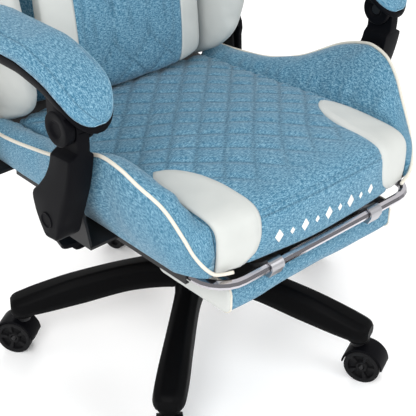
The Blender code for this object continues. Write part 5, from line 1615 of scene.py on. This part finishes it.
def make_castor(i):
    """Two wheels, the hood over them, the web between them, the collar on the stem and the pin."""
    axle = np.array(joint[f"wheel_roll_{i}_a"]["axis"])
    centre = np.array(joint[f"wheel_roll_{i}_a"]["pos_m"])
    for label in "ab":
        low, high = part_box(f"castor_wheel_{i}_{label}")
        side = np.sign((np.array((low + high) / 2) - centre) @ axle)
        grid = wheel_grid(centre, axle, side * 0.0056, side * 0.0194)
        wheel = surface(f"castor_tyre_{i}_{label}", grid, TREAD, wrap=True)
        if side < 0:
            wheel.data.flip_normals()
        face_outwards(wheel.data)
        wheel.data.set_sharp_from_angle(angle=math.radians(38))
        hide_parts(f"castor_wheel_{i}_{label}")
        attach(wheel, f"wheel_{i}_{label}")
    stem = np.array(joint[f"castor_swivel_{i}"]["pos_m"]) * [1, 1, 0]
    forward = (centre - stem) * [1, 1, 0]
    forward /= np.linalg.norm(forward)
    a = np.radians(np.linspace(4, 176, 44))
    corners = [(-0.0198, 0.0316), (-0.0198, 0.0344), (0.0198, 0.0344), (0.0198, 0.0316)]
    section = roll(corners, 0.0012, 4)
    hood = []
    for angle in a:
        ray = forward * math.cos(angle) + np.array([0, 0, 1]) * math.sin(angle)
        hood.append(centre + axle * section[:, :1] + ray * section[:, 1:])
    made = surface(f"castor_hood_{i}", np.array(hood), BLACK, wrap=True, caps=True)
    body = f"castor_{i}"
    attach(made, body)
    rim = np.linspace(0, 2 * math.pi, 56, endpoint=False)
    upper = np.where(np.sin(rim) > -0.05, 0.0325, 0.0120)
    web = [around_axle(centre, axle, forward, x, upper, rim) for x in (-0.0040, 0.0040)]
    rib = surface(f"castor_web_{i}", np.array(web), BLACK, wrap=True, caps=True, smooth=False)
    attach(rib, body)
    collar_profile = [
        (0.0005, 0.0612), (0.0110, 0.0612), (0.0110, LEG_Z - 0.0080), (0.0100, LEG_Z - 0.0070),
        (0.0052, LEG_Z - 0.0070), (0.0052, LEG_Z + 0.018), (0.0005, LEG_Z + 0.018),
    ]
    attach(spun(f"castor_collar_{i}", stem, collar_profile, STEEL, 36), body)
    rim = np.linspace(0, 2 * math.pi, 20, endpoint=False)
    pin_profile = ((-0.0200, 0.0005), (-0.0200, 0.0036), (0.0200, 0.0036), (0.0200, 0.0005))
    pin = [around_axle(centre, axle, forward, x, r, rim) for x, r in pin_profile]
    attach(surface(f"castor_pin_{i}", np.array(pin), STEEL, wrap=True, caps=True), body)
    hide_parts(f"castor_body_{i}")


for i in range(1, 6):
    make_castor(i)
print("base and castors finished")

# %% [markdown]
# ## Floor, light and camera
# The chair stands on a plain pale floor under large soft lamps, as in a small product studio.

# %% Studio
def make_floor():
    """One square of pale paper, glowing faintly so that it stays near white away from the lamps."""
    size = 6.0
    mesh = bpy.data.meshes.new("floor")
    corners = [(-size, -size, 0), (size, -size, 0), (size, size, 0), (-size, size, 0)]
    mesh.from_pydata(corners, [], [(0, 1, 2, 3)])
    paper = Finish(
        "studio_paper", Roughness=0.9, Specular_IOR_Level=0.1,
        Emission_Color=(1, 1, 1, 1), Emission_Strength=0.10,
    )
    tone = paper.blend(paper.noise(paper.place(), 0.8, 2.0), (0.93, 0.93, 0.93), (0.95, 0.95, 0.95))
    floor = piece("floor", mesh, paper.wire(tone), smooth=False)


def lamp(name, place, aim, size, power):
    """A rectangular soft lamp that looks from its place at its aim."""
    light = bpy.data.lights.new(name, "AREA")
    light.shape = "RECTANGLE"
    light.size, light.size_y = size
    light.energy = power
    made = bpy.data.objects.new(name, light)
    bpy.context.scene.collection.objects.link(made)
    made.location = place
    made.rotation_euler = (Vector(aim) - Vector(place)).to_track_quat("-Z", "Y").to_euler()


make_floor()
lamp("key_light", (-2.2, -1.5, 2.3), (0, 0, 0.45), (1.6, 1.6), 62)
lamp("front_fill", (0.8, -2.6, 1.7), (0, 0, 0.40), (1.8, 1.2), 26)
lamp("back_fill", (1.6, 2.4, 2.2), (0, 0, 0.6), (1.8, 1.4), 40)
world = bpy.data.worlds.new("studio")
bpy.context.scene.world = world
world.use_nodes = True
world.node_tree.nodes["Background"].inputs["Color"].default_value = (1, 1, 1, 1)
world.node_tree.nodes["Background"].inputs["Strength"].default_value = 0.85
bpy.context.scene.view_settings.view_transform = "Standard"

# %% Camera
camera = bpy.data.objects.new("camera", bpy.data.cameras.new("camera"))
bpy.context.scene.collection.objects.link(camera)
camera.data.sensor_width = 36.0
camera.data.lens = 93.63
camera.location = (-0.9963, -1.1311 + COLUMN_Y, 1.1631)
camera_back = Vector((-0.5733, -0.6323, 0.5210))
camera.rotation_euler = (-camera_back).to_track_quat("-Z", "Y").to_euler()
camera.data.clip_start, camera.data.clip_end = 0.05, 40.0
bpy.context.scene.camera = camera
